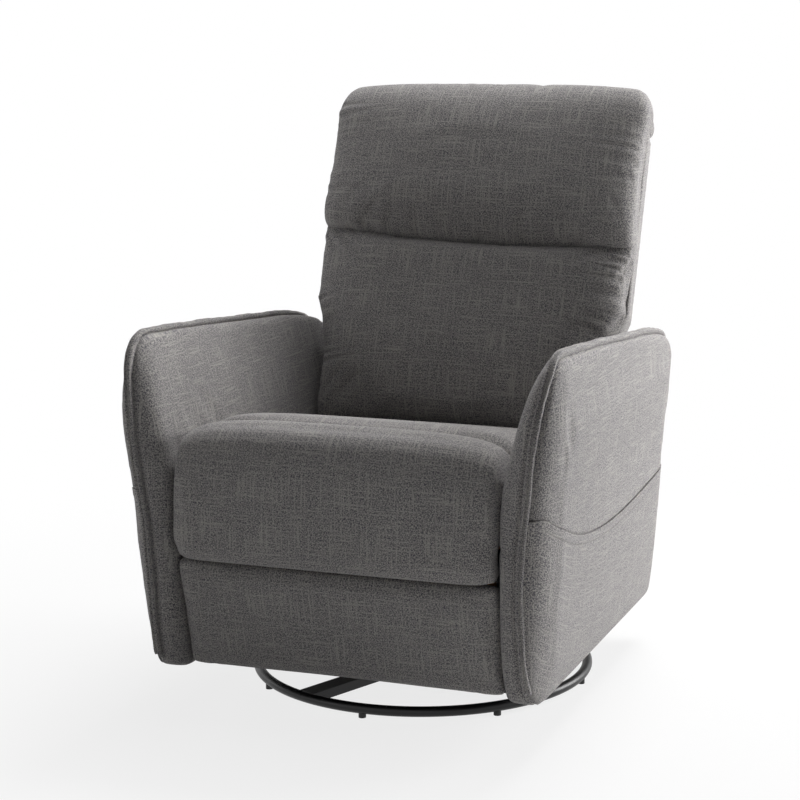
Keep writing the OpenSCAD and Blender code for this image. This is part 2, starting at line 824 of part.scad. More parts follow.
module seat_plates() {
    color("dimgray") both_sides() on_side(seat_plate_x) linear_extrude(sheet_t) seat_plate_outline();
    color("silver") both_sides() {
        fixed_pin(control_pivot, control_x + link_t + layer_gap / 4, rivet_r);
        fixed_pin(spring_post, spring_plane_x + latch_gap, rivet_r);
        fixed_pin(back_pivot, drive_x + link_t + layer_gap / 4, hinge_r);
    }
    color("silver") mirror([1, 0, 0]) fixed_pin(latch_pivot, latch_x + latch_t + layer_gap / 4, rivet_r);
}

module seat_frame() {
    rear = seat_rear_y;
    inner = 2 * (seat_frame_half - seat_rail_w - weld_gap);
    color("burlywood") translate([0, 0, seat_plate_top]) {
        for (y = [seat_frame_front, rear - seat_rail_w])
            translate([-inner / 2, y, 0]) cube([inner, seat_rail_w, seat_rail_h]);
        both_sides() translate([seat_frame_half - seat_rail_w, seat_frame_front, 0])
            cube([seat_rail_w, rear - seat_frame_front, seat_rail_h]);
    }
}

sinuous_count = 5;
sinuous_r = 1.8;
sinuous_amp = 24;
sinuous_waves = 7;
sinuous_pitch = 78;

// Zigzag seat springs, hooked on the front and rear rails
module seat_springs() {
    first = seat_frame_front + seat_rail_w + sinuous_r + weld_gap;
    last = seat_rear_y - seat_rail_w - sinuous_r - weld_gap;
    z = seat_base_z - seat_rail_h / 2;
    steps = sinuous_waves * 6;
    sides = 5;
    color("silver") for (k = [0:sinuous_count - 1])
        translate([(k - (sinuous_count - 1) / 2) * sinuous_pitch, 0, 0])
            loft([for (i = [0:steps]) let (
                    s = i / steps,
                    x = sinuous_amp * sin(360 * sinuous_waves * s),
                    y = first + (last - first) * s,
                    dx = sinuous_amp * cos(360 * sinuous_waves * s) * 2 * PI * sinuous_waves,
                    d = [dx, last - first] / norm([dx, last - first]),
                    n = [d[1], -d[0]]
                ) [for (j = [0:sides - 1]) let (b = j * 360 / sides)
                    [x + n[0] * sinuous_r * cos(b), y + n[1] * sinuous_r * cos(b), z + sinuous_r * sin(b)]]]);
}

clip_w = 18;
clip_len = 22;
clip_t = 1.5;

module spring_clips() {
    z = seat_base_z - seat_rail_h / 2 + sinuous_r;
    color("dimgray") for (k = [0:sinuous_count - 1])
        for (y = [seat_frame_front + seat_rail_w, seat_rear_y - seat_rail_w - clip_len])
            translate([(k - (sinuous_count - 1) / 2) * sinuous_pitch - clip_w / 2, y, z + weld_gap])
                cube([clip_w, clip_len, clip_t]);
}

roll_z = crease_h;
roll_rise = seat_h - crease_h;
// Front roll of the seat in side view, in shares of its length and its rise above the crease
roll_shares = [
    [0.27, 0.02], [0.16, -0.008], [0.07, 0.01], [0.015, 0.09], [0, 0.26], [0, 0.47], [0.02, 0.66],
    [0.075, 0.81], [0.17, 0.915], [0.32, 0.98], [0.5, 1], [0.7, 0.995], [0.88, 0.975], [1, 0.94]
];

module seat_front_roll() {
    outline = concat(
        [[roll_back_y, seat_base_z], [lip_back_y, seat_base_z]],
        [for (p = roll_shares) [roll_face_y + p[0] * roll_len, roll_z + p[1] * roll_rise]]
    );
    color("slategray") side_cushion(outline, seat_half, roll_back_y, seat_base_z, 5, [0.1, 0.42]);
}

seat_drop = seat_h - seat_rear_h;
// Top of the seat cushion in side view, in shares of its length and of the drop of the seat
cushion_shares = [
    [0, 0.17], [0.03, 0.1], [0.1, 0.09], [0.25, 0.2], [0.42, 0.36], [0.6, 0.56], [0.77, 0.76],
    [0.9, 0.93], [0.97, 1.08], [1, 1.35]
];

module seat_cushion() {
    first = roll_back_y + seam_gap;
    length = seat_rear_y - first;
    outline = concat(
        [[seat_rear_y, seat_base_z], [first, seat_base_z]],
        [for (p = cushion_shares) [first + p[0] * length, seat_h - p[1] * seat_drop]]
    );
    color("slategray") difference() {
        side_cushion(outline, seat_half, (first + seat_rear_y) / 2, seat_base_z, 5, [0, 0.32]);
        translate([-seat_half - over, tab_slot_y - tab_slot_w / 2, seat_base_z - over])
            cube([tab_slot_d + over, tab_slot_w, seat_h]);
    }
}

drive_spring_r = 6;
drive_spring_wire = 1.2;
drive_spring_turns = 12;
drive_spring_len = 110;

module drive_springs() {
    run = spring_post - spring_stud;
    lean = atan2(run[1], run[0]);
    reach = norm(run) - 2 * rivet_r;
    rod = (reach - drive_spring_len) / 2;
    color("silver") both_sides() translate([spring_plane_x, spring_stud[0], spring_stud[1]])
        rotate([lean, 0, 0]) rotate([-90, 0, 0]) {
            translate([0, 0, rivet_r + weld_gap]) cylinder(r = drive_spring_wire, h = rod - weld_gap);
            translate([0, 0, rivet_r + rod + drive_spring_len])
                cylinder(r = drive_spring_wire, h = rod - weld_gap);
            translate([0, 0, rivet_r + rod]) cylinder(r = drive_spring_r, h = drive_spring_len);
        }
}

// Back

// Moves a drawing from the back's own frame, (x, v, w), to the chair
module on_back() {
    translate([0, back_line[0], back_line[1]]) rotate([-back_lean, 0, 0])
        mirror([0, 1, 0]) children();
}

// Half width of the back at a height w up the lean, for a given full half width
function back_half(w, full) =
    let (low = lower_back_w / 2, a = widen_from, b = widen_to, s = min(max((w - a) / (b - a), 0), 1))
        low + (full - low) * pow(s, 2.2);
widen_from = 120;
widen_to = 250;

// Fullness of the pillow's front across its width
function pillow_front(s) = pow(max(1 - pow(abs(s), 5), 0), 0.42);

pillow_across_shares = [-1, -0.985, -0.95, -0.88, -0.75, -0.55, -0.3, 0, 0.3, 0.55, 0.75, 0.88, 0.95, 0.985, 1];

// Rows of a pillow: height share, depth share and half-width inset share of its depth
module pillow(rows, w0, w1, depth, full, back_v) {
    edge = depth * 0.16;
    on_back() loft([for (row = rows) let (
            w = w0 + row[0] * (w1 - w0),
            half = back_half(w, full) - row[2] * depth,
            front = depth * row[1],
            rear = back_v * row[3]
        ) concat(
            [for (s = pillow_across_shares) [s * half, min(edge, front) + (front - min(edge, front))
                * pillow_front(s), w]],
            [[half, rear, w], [0, rear, w], [-half, rear, w]]
        )]);
}

// Each row: height share, depth share, inset share, and how far it goes behind the back line
lumbar_shares = [
    [0, 0.42, 0.1, 0], [0.03, 0.66, 0.03, 0], [0.09, 0.82, 0, 0], [0.2, 0.93, 0, 0], [0.35, 0.98, 0, 0],
    [0.43, 1, 0, 0], [0.5, 1, 0, 0], [0.55, 1, 0, 0], [0.6, 0.995, 0, 0], [0.68, 0.98, 0, 0], [0.8, 0.94, 0, 0], [0.91, 0.84, 0, 0], [0.97, 0.7, 0.03, 0],
    [1, 0.5, 0.08, 0]
];
head_shares = [
    [0, 0.5, 0.08, 0], [0.03, 0.76, 0.02, 0], [0.1, 0.93, 0, 0], [0.25, 1, 0, 0], [0.45, 1, 0, 0],
    [0.62, 0.94, 0, 0], [0.72, 0.88, 0, 0], [0.782, 0.82, 0.01, 0], [0.785, 0.815, 0.01, 1],
    [rearmost_share, 0.66, 0.06, rearmost_depth_share], [0.93, 0.5, 0.13, 0.9],
    [crest_share, crest_front_share, 0.24, 0.7], [1, 0.08, 0.42, 0.4]
];

lumbar_low_w = 10;

module lumbar_pillow() {
    color("slategray") pillow(lumbar_shares, lumbar_low_w, pillow_seam_w - pillow_gap, lumbar_t,
        back_w / 2, 0);
}

module head_pillow() {
    color("slategray") pillow(head_shares, head_low_w, back_top_w, head_t, back_w / 2, -shell_t);
}

shell_bottom_w = -6;
// The outside back hangs down behind the seat by this much
shell_tail = 44;
shell_top_share = 0.78;
shell_side_inset = 12;
shell_top_w = head_low_w + shell_top_share * (back_top_w - head_low_w);

module back_shell_outline(inset) {
    full = back_w / 2 - shell_side_inset;
    heights = [shell_bottom_w + inset, for (k = [0:4]) widen_from + k * (widen_to - widen_from) / 4,
        shell_top_w - inset];
    side = [for (w = heights) [back_half(w, full) - inset, w]];
    last = len(side) - 1;
    polygon(concat(side, [for (i = [last:-1:0]) [-side[i][0], side[i][1]]]));
}

module back_shell() {
    tail_half = lower_back_w / 2;
    color("slategray") on_back() mirror([0, 1, 0]) rotate([90, 0, 0]) mirror([0, 0, 1]) difference() {
        union() {
            linear_extrude(shell_t - soft_gap) back_shell_outline(0);
            translate([-tail_half, shell_bottom_w - shell_tail, shell_t - soft_gap - shell_wall])
                cube([2 * tail_half, shell_tail + shell_wall, shell_wall]);
        }
        translate([0, 0, -over]) linear_extrude(shell_t - shell_wall + over)
            back_shell_outline(shell_wall);
        // Slots in the lower edge for the brackets
        for (side = [-1, 1]) translate([side * (drive_x + link_t / 2) - bracket_slot / 2,
                shell_bottom_w - over, -over])
            cube([bracket_slot, shell_wall + 2 * over, back_rail_t + 3 * over]);
    }
}

module back_frame_part(x0, w0, wide, high) {
    on_back() translate([x0, -back_rail_t - over, w0]) cube([wide, back_rail_t, high]);
}

// The lower rail lies between the two brackets, and the posts stand outside them
post_x = drive_x + link_t + weld_gap;
module back_frame() {
    low = shell_bottom_w + shell_wall + over;
    high = shell_top_w - shell_wall - over;
    rail = drive_x - weld_gap;
    top_rail = post_x - weld_gap;
    color("burlywood") {
        back_frame_part(post_x, low, frame_post_w, high - low);
        back_frame_part(-post_x - frame_post_w, low, frame_post_w, high - low);
        back_frame_part(-rail, low, 2 * rail, 2 * frame_post_w);
        back_frame_part(-top_rail, high - frame_post_w, 2 * top_rail, frame_post_w);
    }
}

strap_w = 45;
strap_t = 2;
strap_count = 4;

module back_straps() {
    first = 4 * frame_post_w;
    last = shell_top_w - 5 * frame_post_w;
    color("dimgray") for (i = [0:strap_count - 1])
        on_back() translate([-post_x - frame_post_w / 2, -over + weld_gap,
                first + i * (last - first) / (strap_count - 1)])
            cube([2 * post_x + frame_post_w, over - 2 * weld_gap, strap_w]);
}

module back_brackets() {
    top = at_back(-back_rail_t / 2 - 2 * over, bracket_rise);
    color("dimgray") both_sides() on_side(drive_x) linear_extrude(link_t) difference() {
        union() {
            bar_outline(back_pivot, top, back_rail_t);
            hole_at(back_pivot, ear_r);
        }
        hole_at(back_pivot, hinge_r + run_gap);
    }
}

// Footrest linkage, drawn closed

module torque_tube() {
    x1 = drive_x + link_t;
    color("dimgray") on_side(-x1) translate(drive_pivot) difference() {
        cylinder(r = torque_r, h = 2 * x1);
        translate([0, 0, -over]) cylinder(r = torque_r - torque_wall, h = 2 * x1 + 2 * over);
    }
}

module drive_links() {
    color("dimgray") both_sides() on_side(drive_x) linear_extrude(link_t) difference() {
        union() {
            bar_outline(drive_pivot, elbow_pivot, link_w);
            hole_at(drive_pivot, torque_r + rivet_r);
        }
        hole_at(drive_pivot, torque_r + weld_gap);
        hole_at(elbow_pivot, rivet_r + weld_gap);
    }
    color("silver") both_sides()
        rivet(elbow_pivot, drive_x - weld_gap, extension_x + link_t + layer_gap / 4, rivet_r, rivet_head);
}

module extension_links() {
    color("dimgray") both_sides() on_side(extension_x) linear_extrude(link_t) difference() {
        bar_outline(elbow_pivot, board_pivot, link_w);
        hole_at(elbow_pivot, rivet_r + run_gap);
        hole_at(board_pivot, rivet_r + run_gap);
        hole_at(control_joint, slack_pin_r + weld_gap);
    }
    x1 = control_x + link_t + layer_gap / 4;
    color("silver") both_sides() {
        on_side(extension_x) translate(control_joint) cylinder(r = slack_pin_r, h = x1 - extension_x);
        on_side(x1) translate(control_joint) cylinder(r = slack_hole_r + rivet_head_over, h = rivet_head);
    }
}
slack_pin_r = 2.5;
slack_hole_r = 8.2;

// The control link's far end is the open pivot of the linkage: its pin hole is a slack one
module control_links() {
    color("dimgray") both_sides() on_side(control_x) linear_extrude(link_t) difference() {
        union() {
            bar_outline(control_pivot, control_joint, link_w);
            hole_at(control_joint, slack_hole_r + rivet_r);
        }
        hole_at(control_pivot, rivet_r + run_gap);
        hole_at(control_joint, slack_hole_r);
        hole_at(spring_stud, rivet_r + weld_gap);
    }
    x0 = control_x;
    color("silver") both_sides() on_side(x0) translate(spring_stud)
        cylinder(r = rivet_r, h = spring_plane_x + latch_gap - x0);
}

panel_dir = [-sin(footrest_lean), cos(footrest_lean)];
panel_out = [-cos(footrest_lean), -sin(footrest_lean)];

// Moves a drawing from the panel's own frame, (x, n, u), to the closed footrest
module on_panel() {
    translate([0, footrest_mid[0], footrest_mid[1]]) rotate([footrest_lean, 0, 0])
        mirror([0, 1, 0]) children();
}

// Side view of the pad, in shares of its thickness and half its length
pad_shares = [
    [-1, -0.94], [-1, 0.86], [-0.7, 0.93], [-0.3, 0.965], [-0.06, 0.93], [0.08, 0.82], [0.15, 0.55],
    [0.17, 0.15], [0.17, -0.3], [0.12, -0.68], [0, -0.88], [-0.2, -0.97], [-0.5, -1], [-0.8, -0.985]
];

module footrest_pad() {
    power = 9;
    stations = [-1, -0.99, -0.965, -0.92, -0.8, -0.5, 0, 0.5, 0.8, 0.92, 0.965, 0.99, 1];
    color("slategray") on_panel() loft([for (s = stations) let (
            full = fullness(s, power), k = 1 - 0.12 * (1 - full), t = 1 - 0.6 * (1 - full)
        ) [for (p = pad_shares) [
            s * footrest_half_w,
            -pad_t + (p[0] + 1) * pad_t * t,
            p[1] * footrest_len / 2 * k
        ]]]);
}

board_inset = 12;
bracket_flange = 30;
module footrest_board() {
    half = footrest_half_w - board_inset;
    high = footrest_len - 2 * board_inset;
    color("burlywood") on_panel() translate([-half, -pad_t - board_t, -high / 2]) cube([2 * half, board_t, high]);
}

module footrest_brackets() {
    back = footrest_mid - (pad_t + board_t) * panel_out;
    p = back + bracket_flange * panel_dir;
    q = back - bracket_flange * panel_dir;
    ear = link_w / 2;
    color("dimgray") both_sides() on_side(drive_x) linear_extrude(link_t) difference() {
        union() {
            polygon([p, q, board_pivot - ear * panel_dir, board_pivot + ear * panel_dir]);
            hole_at(board_pivot, ear);
        }
        hole_at(board_pivot, rivet_r + weld_gap);
    }
    color("dimgray") both_sides() on_panel()
        translate([drive_x - bracket_flange, -pad_t - board_t - sheet_t, -bracket_flange])
            cube([bracket_flange, sheet_t, 2 * bracket_flange]);
    color("silver") both_sides()
        rivet(board_pivot, drive_x - weld_gap, extension_x + link_t + layer_gap / 4, rivet_r, rivet_head);
}

// Release: a strap tab beside the seat lifts the tail of a latch that holds the control link's stud

latch_w = 12;
latch_gap_side = 0.5;
latch_bar_r = 3;
latch_tail_drop = 4;
latch_tail = [tab_slot_y, latch_pivot[1] - latch_tail_drop];
tab_t = 2.4;
tab_w = 24;
tab_top_drop = 58;
tab_top = seat_h - tab_top_drop;
tab_gap = 0.3;
tab_x = arm_x - tab_gap - tab_t;

module release_latch() {
    // The finger lies beside the stud, on the side that it swings away from
    tip = spring_stud + (rivet_r + latch_w / 2 + latch_gap_side) * control_dir;
    color("silver") mirror([1, 0, 0]) {
        on_side(latch_x) linear_extrude(latch_t) difference() {
            union() {
                bar_outline(latch_pivot, tip, latch_w);
                bar_outline(latch_pivot, latch_tail, latch_w);
            }
            hole_at(latch_pivot, rivet_r + run_gap);
        }
        on_side(latch_x + latch_t) translate(latch_tail)
            cylinder(r = latch_bar_r, h = tab_x + tab_t - latch_x - latch_t);
    }
}

module release_tab() {
    low = latch_tail[1] - latch_bar_r - 2 * hinge_slack;
    color("dimgray") mirror([1, 0, 0]) translate([tab_x, tab_slot_y - tab_w / 2, low]) difference() {
        cube([tab_t, tab_w, tab_top - low]);
        translate([-over, tab_w / 2, latch_tail[1] - low]) rotate([0, 90, 0])
            cylinder(r = latch_bar_r + hinge_slack, h = tab_t + 2 * over);
    }
}
hinge_slack = 2.5;

// Drawing

base_ring();
base_cross();
base_feet();
lower_bearing_plate();
lower_race();
bearing_balls();
ball_cage();
pivot_bolt();
upper_bearing_plate();
upper_race();
rocker_rails();
spring_lower_brackets();
rocker_springs();
rocker_cams();
spring_upper_brackets();
cross_angles();
base_plates();
slide_rollers();
arm_brackets();
rear_rail();
rear_panel();
front_stretcher();
arm_frame();  // arm_left_frame
arm_pad();  // arm_left_pad
arm_outer_panel();  // arm_left_outer_panel
arm_pocket();  // arm_left_pocket
arm_welt();  // arm_left_welt
mirror([1, 0, 0]) arm_frame();  // arm_right_frame
mirror([1, 0, 0]) arm_pad();  // arm_right_pad
mirror([1, 0, 0]) arm_outer_panel();  // arm_right_outer_panel
mirror([1, 0, 0]) arm_pocket();  // arm_right_pocket
mirror([1, 0, 0]) arm_welt();  // arm_right_welt
seat_plates();
seat_frame();
seat_springs();
spring_clips();
seat_front_roll();
seat_cushion();
drive_springs();
back_brackets();
back_frame();
back_straps();
lumbar_pillow();
head_pillow();
back_shell();
torque_tube();
drive_links();
extension_links();
control_links();
footrest_brackets();
footrest_board();
footrest_pad();
release_latch();
release_tab();
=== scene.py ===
# %% [markdown]
# # A swivel rocker recliner in grey linen
#
# This lesson dresses an armchair: soft cushions over a wooden frame, a flat welt round the arms,
# pockets on the sides and a swivel base of black tube. The measured frame is loaded first and is
# never moved. Each soft piece is then made over the solid that stands for it, and each hard piece
# keeps its shape and gets a finish.

# %% Load the measured frame
import json
import math
import bpy
import bmesh
import numpy as np
from mathutils import Matrix, Vector
from mathutils.bvhtree import BVHTree
from mathutils.kdtree import KDTree


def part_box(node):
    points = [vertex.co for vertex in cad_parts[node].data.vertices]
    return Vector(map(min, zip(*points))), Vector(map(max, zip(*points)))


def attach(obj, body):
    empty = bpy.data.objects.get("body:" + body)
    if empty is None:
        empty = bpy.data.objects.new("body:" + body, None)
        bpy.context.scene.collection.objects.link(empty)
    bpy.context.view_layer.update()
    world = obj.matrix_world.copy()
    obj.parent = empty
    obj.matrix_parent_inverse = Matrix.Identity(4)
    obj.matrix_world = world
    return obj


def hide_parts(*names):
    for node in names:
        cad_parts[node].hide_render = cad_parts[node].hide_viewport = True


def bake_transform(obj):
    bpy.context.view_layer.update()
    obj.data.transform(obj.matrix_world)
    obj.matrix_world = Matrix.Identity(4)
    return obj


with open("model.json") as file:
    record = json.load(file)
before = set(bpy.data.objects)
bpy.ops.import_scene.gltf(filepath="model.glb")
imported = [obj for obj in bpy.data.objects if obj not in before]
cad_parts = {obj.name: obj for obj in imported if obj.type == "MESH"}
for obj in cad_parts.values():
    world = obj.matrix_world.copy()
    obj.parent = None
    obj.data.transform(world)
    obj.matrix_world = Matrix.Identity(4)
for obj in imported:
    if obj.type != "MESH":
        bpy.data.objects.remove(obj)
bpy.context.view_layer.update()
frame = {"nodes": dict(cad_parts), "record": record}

# %% [markdown]
# ## Camera
#
# The picture was taken from the sitter's front left, a little above the seat. A long lens far
# away keeps upright lines upright. A small shift of the lens centres the chair without turning
# the camera.

# %% Camera
PHOTO_SIDE = 800
SENSOR = 36.0
FOCAL_PIXELS = 1998.4
LENS_SHIFT = (-0.0626, 0.0074)
CAMERA_PLACE = Vector((1.2176, -3.3282, 1.1252))
CAMERA_AIM = Vector((0.1711, -0.3597, 0.5532))
camera_data = bpy.data.cameras.new("camera")
camera_data.sensor_width = SENSOR
camera_data.lens = FOCAL_PIXELS * SENSOR / PHOTO_SIDE
camera_data.shift_x, camera_data.shift_y = LENS_SHIFT
camera = bpy.data.objects.new("camera", camera_data)
camera.location = CAMERA_PLACE
camera.rotation_euler = (CAMERA_AIM - CAMERA_PLACE).to_track_quat("-Z", "Y").to_euler()
bpy.context.scene.collection.objects.link(camera)
bpy.context.scene.camera = camera
print("lens", round(camera_data.lens, 2), "mm")

# %% [markdown]
# ## Node helpers
#
# A material is a tree of nodes. Each helper adds one node and joins it up at once, so the
# materials further down read like sums. Whatever goes into a node is a number, a colour or the
# output of another node.

# %% Node helpers


def add_node(tree, kind, inputs=None, **settings):
    """A node with these settings; inputs says what goes into which socket."""
    node = tree.nodes.new(kind)
    for name, value in settings.items():
        setattr(node, name, value)
    for place, value in (inputs or {}).items():
        if isinstance(value, bpy.types.NodeSocket):
            tree.links.new(value, node.inputs[place])
        else:
            node.inputs[place].default_value = value
    return node


def math_node(tree, operation, a, b=None, c=None, clamp=False):
    """The result of one sum; a, b and c are sockets or numbers."""
    inputs = {place: value for place, value in enumerate((a, b, c)) if value is not None}
    return add_node(tree, "ShaderNodeMath", inputs, operation=operation, use_clamp=clamp).outputs[0]


def blend_colour(tree, factor, a, b, kind="MIX"):
    """Two colours mixed; each value is a socket, a number or a colour."""
    node = add_node(tree, "ShaderNodeMix", {0: factor, 6: a, 7: b},
                    data_type="RGBA", blend_type=kind, clamp_factor=True)
    return node.outputs[2]


def noise(tree, vector, scale, detail=2.0, roughness=0.5):
    inputs = {"Vector": vector, "Scale": scale, "Detail": detail, "Roughness": roughness}
    return add_node(tree, "ShaderNodeTexNoise", inputs).outputs["Fac"]


def stretched(tree, vector, scale, shift=(0, 0, 0)):
    """A vector scaled by different amounts on its axes."""
    inputs = {"Vector": vector, "Scale": scale, "Location": shift}
    return add_node(tree, "ShaderNodeMapping", inputs).outputs[0]


def seen_ray(tree):
    """1 for a ray that shows the backdrop itself: to the camera, mirrored or through glass."""
    path = add_node(tree, "ShaderNodeLightPath")
    seen = math_node(tree, "MAXIMUM", path.outputs["Is Camera Ray"], path.outputs["Is Glossy Ray"])
    return math_node(tree, "MAXIMUM", seen, path.outputs["Is Transmission Ray"])


def new_material(name):
    material = bpy.data.materials.new(name)
    material.use_nodes = True
    material.node_tree.nodes.clear()
    return material, material.node_tree


def mesh_object(name, bm):
    mesh = bpy.data.meshes.new(name)
    bm.to_mesh(mesh)
    bm.free()
    made = bpy.data.objects.new(name, mesh)
    bpy.context.scene.collection.objects.link(made)
    return made

# %% [markdown]
# ## Studio
#
# A large soft lamp stands behind the chair's left side, so the outer side of that arm is bright
# and the front stays dark. A second one, high behind the back, lights the seat and the tops of the
# roll, the arms and the head pillow. Three faint ones fill the shadows. The world is white to the
# camera and dim to everything else. The floor is pale and turns whiter with distance, so that it
# has no horizon and only the chair's soft shadow shows on it.

# %% Lamps
CHAIR_MIDDLE = Vector((0.0, 0.0, 0.55))


def area_lamp(name, place, wide, high, power):
    """A soft rectangular lamp that faces the chair."""
    data = bpy.data.lights.new(name, "AREA")
    data.shape = "RECTANGLE"
    data.size, data.size_y = wide, high
    data.energy = power
    lamp = bpy.data.objects.new(name, data)
    lamp.location = place
    lamp.rotation_euler = (CHAIR_MIDDLE - Vector(place)).to_track_quat("-Z", "Y").to_euler()
    bpy.context.scene.collection.objects.link(lamp)


area_lamp("rear_side_lamp", (2.6, 2.0, 1.2), wide=1.6, high=1.6, power=120)
area_lamp("rear_top_lamp", (0.5, 2.5, 4.0), wide=1.8, high=1.8, power=165)
area_lamp("top_lamp", (0.0, 0.2, 3.0), wide=2.2, high=2.2, power=17)
area_lamp("far_side_lamp", (-3.2, 0.0, 1.4), wide=2.0, high=1.8, power=12)
area_lamp("front_lamp", (-2.6, -2.6, 1.5), wide=2.0, high=1.8, power=10)
print(len(bpy.data.lights), "lamps")

# %% World
WHITE = (1, 1, 1, 1)
SKY_COLOUR = (0.95, 0.97, 1.0, 1)
SKY_STRENGTH = 0.03
world = bpy.data.worlds.new("studio")
world.use_nodes = True
bpy.context.scene.world = world
tree = world.node_tree
tree.nodes.clear()
sky = add_node(tree, "ShaderNodeBackground", {"Color": SKY_COLOUR, "Strength": SKY_STRENGTH})
backdrop = add_node(tree, "ShaderNodeBackground", {"Color": WHITE, "Strength": 1.0})
pick = add_node(tree, "ShaderNodeMixShader", {0: seen_ray(tree), 1: sky.outputs[0], 2: backdrop.outputs[0]})
add_node(tree, "ShaderNodeOutputWorld", {"Surface": pick.outputs[0]})
bpy.context.scene.view_settings.view_transform = "Standard"
print("world with", len(tree.nodes), "nodes")

# %% Floor
FLOOR_HALF = 14
FLOOR_PAINT = (0.8, 0.8, 0.8, 1)
# The floor's own whiteness grows from the first share to the second between these distances
WHITER_FROM, WHITER_TO = 0.45, 1.7
WHITE_SHARE_NEAR, WHITE_SHARE_FAR = 0.8, 1.0
bm = bmesh.new()
bmesh.ops.create_grid(bm, x_segments=1, y_segments=1, size=FLOOR_HALF)
floor = mesh_object("floor", bm)
material, tree = new_material("pale_floor")
floor.data.materials.append(material)
place = add_node(tree, "ShaderNodeTexCoord")
away = add_node(tree, "ShaderNodeVectorMath", {0: place.outputs["Object"]}, operation="LENGTH")
whiter = add_node(tree, "ShaderNodeMapRange",
                  {0: away.outputs["Value"], 1: WHITER_FROM, 2: WHITER_TO, 3: WHITE_SHARE_NEAR,
                   4: WHITE_SHARE_FAR}, interpolation_type="SMOOTHSTEP")
share = math_node(tree, "MULTIPLY", seen_ray(tree), whiter.outputs[0])
paint = add_node(tree, "ShaderNodeBsdfDiffuse", {"Color": FLOOR_PAINT})
glow = add_node(tree, "ShaderNodeEmission", {"Strength": 1.0})
mix = add_node(tree, "ShaderNodeMixShader", {0: share, 1: paint.outputs[0], 2: glow.outputs[0]})
add_node(tree, "ShaderNodeOutputMaterial", {"Surface": mix.outputs[0]})
print("floor", 2 * FLOOR_HALF, "m square")

# %% [markdown]
# ## Shader groups
#
# Three effects come back in many finishes, so each is a group, built once. The weave reads a UV
# map measured in metres, so a thread has the same width on every piece. Each thread gets its own
# shade from noise that is stretched along it, and now and then a thick slub. The grain group
# draws year rings in sawn wood, and the wear group gives blotches and rubbed places to metal.

# %% A helper that builds a group


def shader_group(name, **inputs):
    """A new group that puts out a colour, a height and a roughness, with its two end nodes."""
    group = bpy.data.node_groups.new(name, "ShaderNodeTree")
    group.interface.new_socket("Vector", in_out="INPUT", socket_type="NodeSocketVector")
    for label, value in inputs.items():
        kind = "NodeSocketColor" if isinstance(value, tuple) else "NodeSocketFloat"
        group.interface.new_socket(label, in_out="INPUT", socket_type=kind).default_value = value
    for label, kind in (("Color", "NodeSocketColor"), ("Height", "NodeSocketFloat"),
                        ("Roughness", "NodeSocketFloat")):
        group.interface.new_socket(label, in_out="OUTPUT", socket_type=kind)
    return group, group.nodes.new("NodeGroupInput"), group.nodes.new("NodeGroupOutput")


# %% The linen weave group
THREAD = 0.0013
WANDER = THREAD * 1.3
# How fast the specks and the slubs change across the threads and along them, per metre
SPECK_ACROSS, SPECK_ALONG = 0.95 / THREAD, 290
SLUB_ACROSS, SLUB_ALONG = 0.45 / THREAD, 13
MIDDLE_SHADE = 0.34
SLUB_PALENESS = 0.5
weave, into, outof = shader_group("linen_weave", Dark=(0.1, 0.1, 0.11, 1), Light=(0.4, 0.38, 0.33, 1),
                                  Contrast=7.2)
uv = into.outputs["Vector"]
# The threads wander a little from side to side
wander_u = noise(weave, stretched(weave, uv, (300, 18, 1)), 1.0, 1.0)
wander_v = noise(weave, stretched(weave, uv, (18, 300, 1), (7, 3, 0)), 1.0, 1.0)
split = add_node(weave, "ShaderNodeSeparateXYZ", {0: uv})
u = math_node(weave, "MULTIPLY_ADD", wander_u, WANDER, split.outputs[0])
v = math_node(weave, "MULTIPLY_ADD", wander_v, WANDER, split.outputs[1])
sin_u = math_node(weave, "SINE", math_node(weave, "MULTIPLY", u, math.pi / THREAD))
sin_v = math_node(weave, "SINE", math_node(weave, "MULTIPLY", v, math.pi / THREAD))
round_u = math_node(weave, "ABSOLUTE", sin_u)
round_v = math_node(weave, "ABSOLUTE", sin_v)
# Where the product is positive the upright thread lies on top
upright = math_node(weave, "MULTIPLY_ADD", math_node(weave, "MULTIPLY", sin_u, sin_v), 3.0, 0.5, clamp=True)


def thread_shade(long_way):
    """From dark to light: speckled along each thread, with a long pale slub now and then."""
    fine = (SPECK_ACROSS, SPECK_ALONG, 1) if long_way else (SPECK_ALONG, SPECK_ACROSS, 1)
    thick = (SLUB_ACROSS, SLUB_ALONG, 1) if long_way else (SLUB_ALONG, SLUB_ACROSS, 1)
    speck = noise(weave, stretched(weave, uv, fine, (3, 9, 0)), 1.0, 1.0)
    slub = noise(weave, stretched(weave, uv, thick, (5, 1, 0)), 1.0, 1.0)
    # Only the peaks of the slub noise are left
    slub = math_node(weave, "MULTIPLY_ADD", slub, 9.0, -5.1, clamp=True)
    centred = math_node(weave, "SUBTRACT", speck, 0.5)
    spread = math_node(weave, "MULTIPLY", centred, into.outputs["Contrast"])
    return math_node(weave, "ADD", spread, MIDDLE_SHADE, clamp=True), slub


shade_u, slub_u = thread_shade(True)
shade_v, slub_v = thread_shade(False)
colour_u = blend_colour(weave, shade_u, into.outputs["Dark"], into.outputs["Light"])
colour_v = blend_colour(weave, shade_v, into.outputs["Dark"], into.outputs["Light"])
colour = blend_colour(weave, upright, colour_v, colour_u)
slubs = math_node(weave, "MULTIPLY", math_node(weave, "MAXIMUM", slub_u, slub_v), SLUB_PALENESS)
colour = blend_colour(weave, slubs, colour, into.outputs["Light"])

# %% The weave's painted gap shade, height and roughness
patches = noise(weave, stretched(weave, uv, (14, 14, 1)), 1.0, 2.0)
patches = math_node(weave, "MULTIPLY_ADD", patches, 0.12, 0.94)
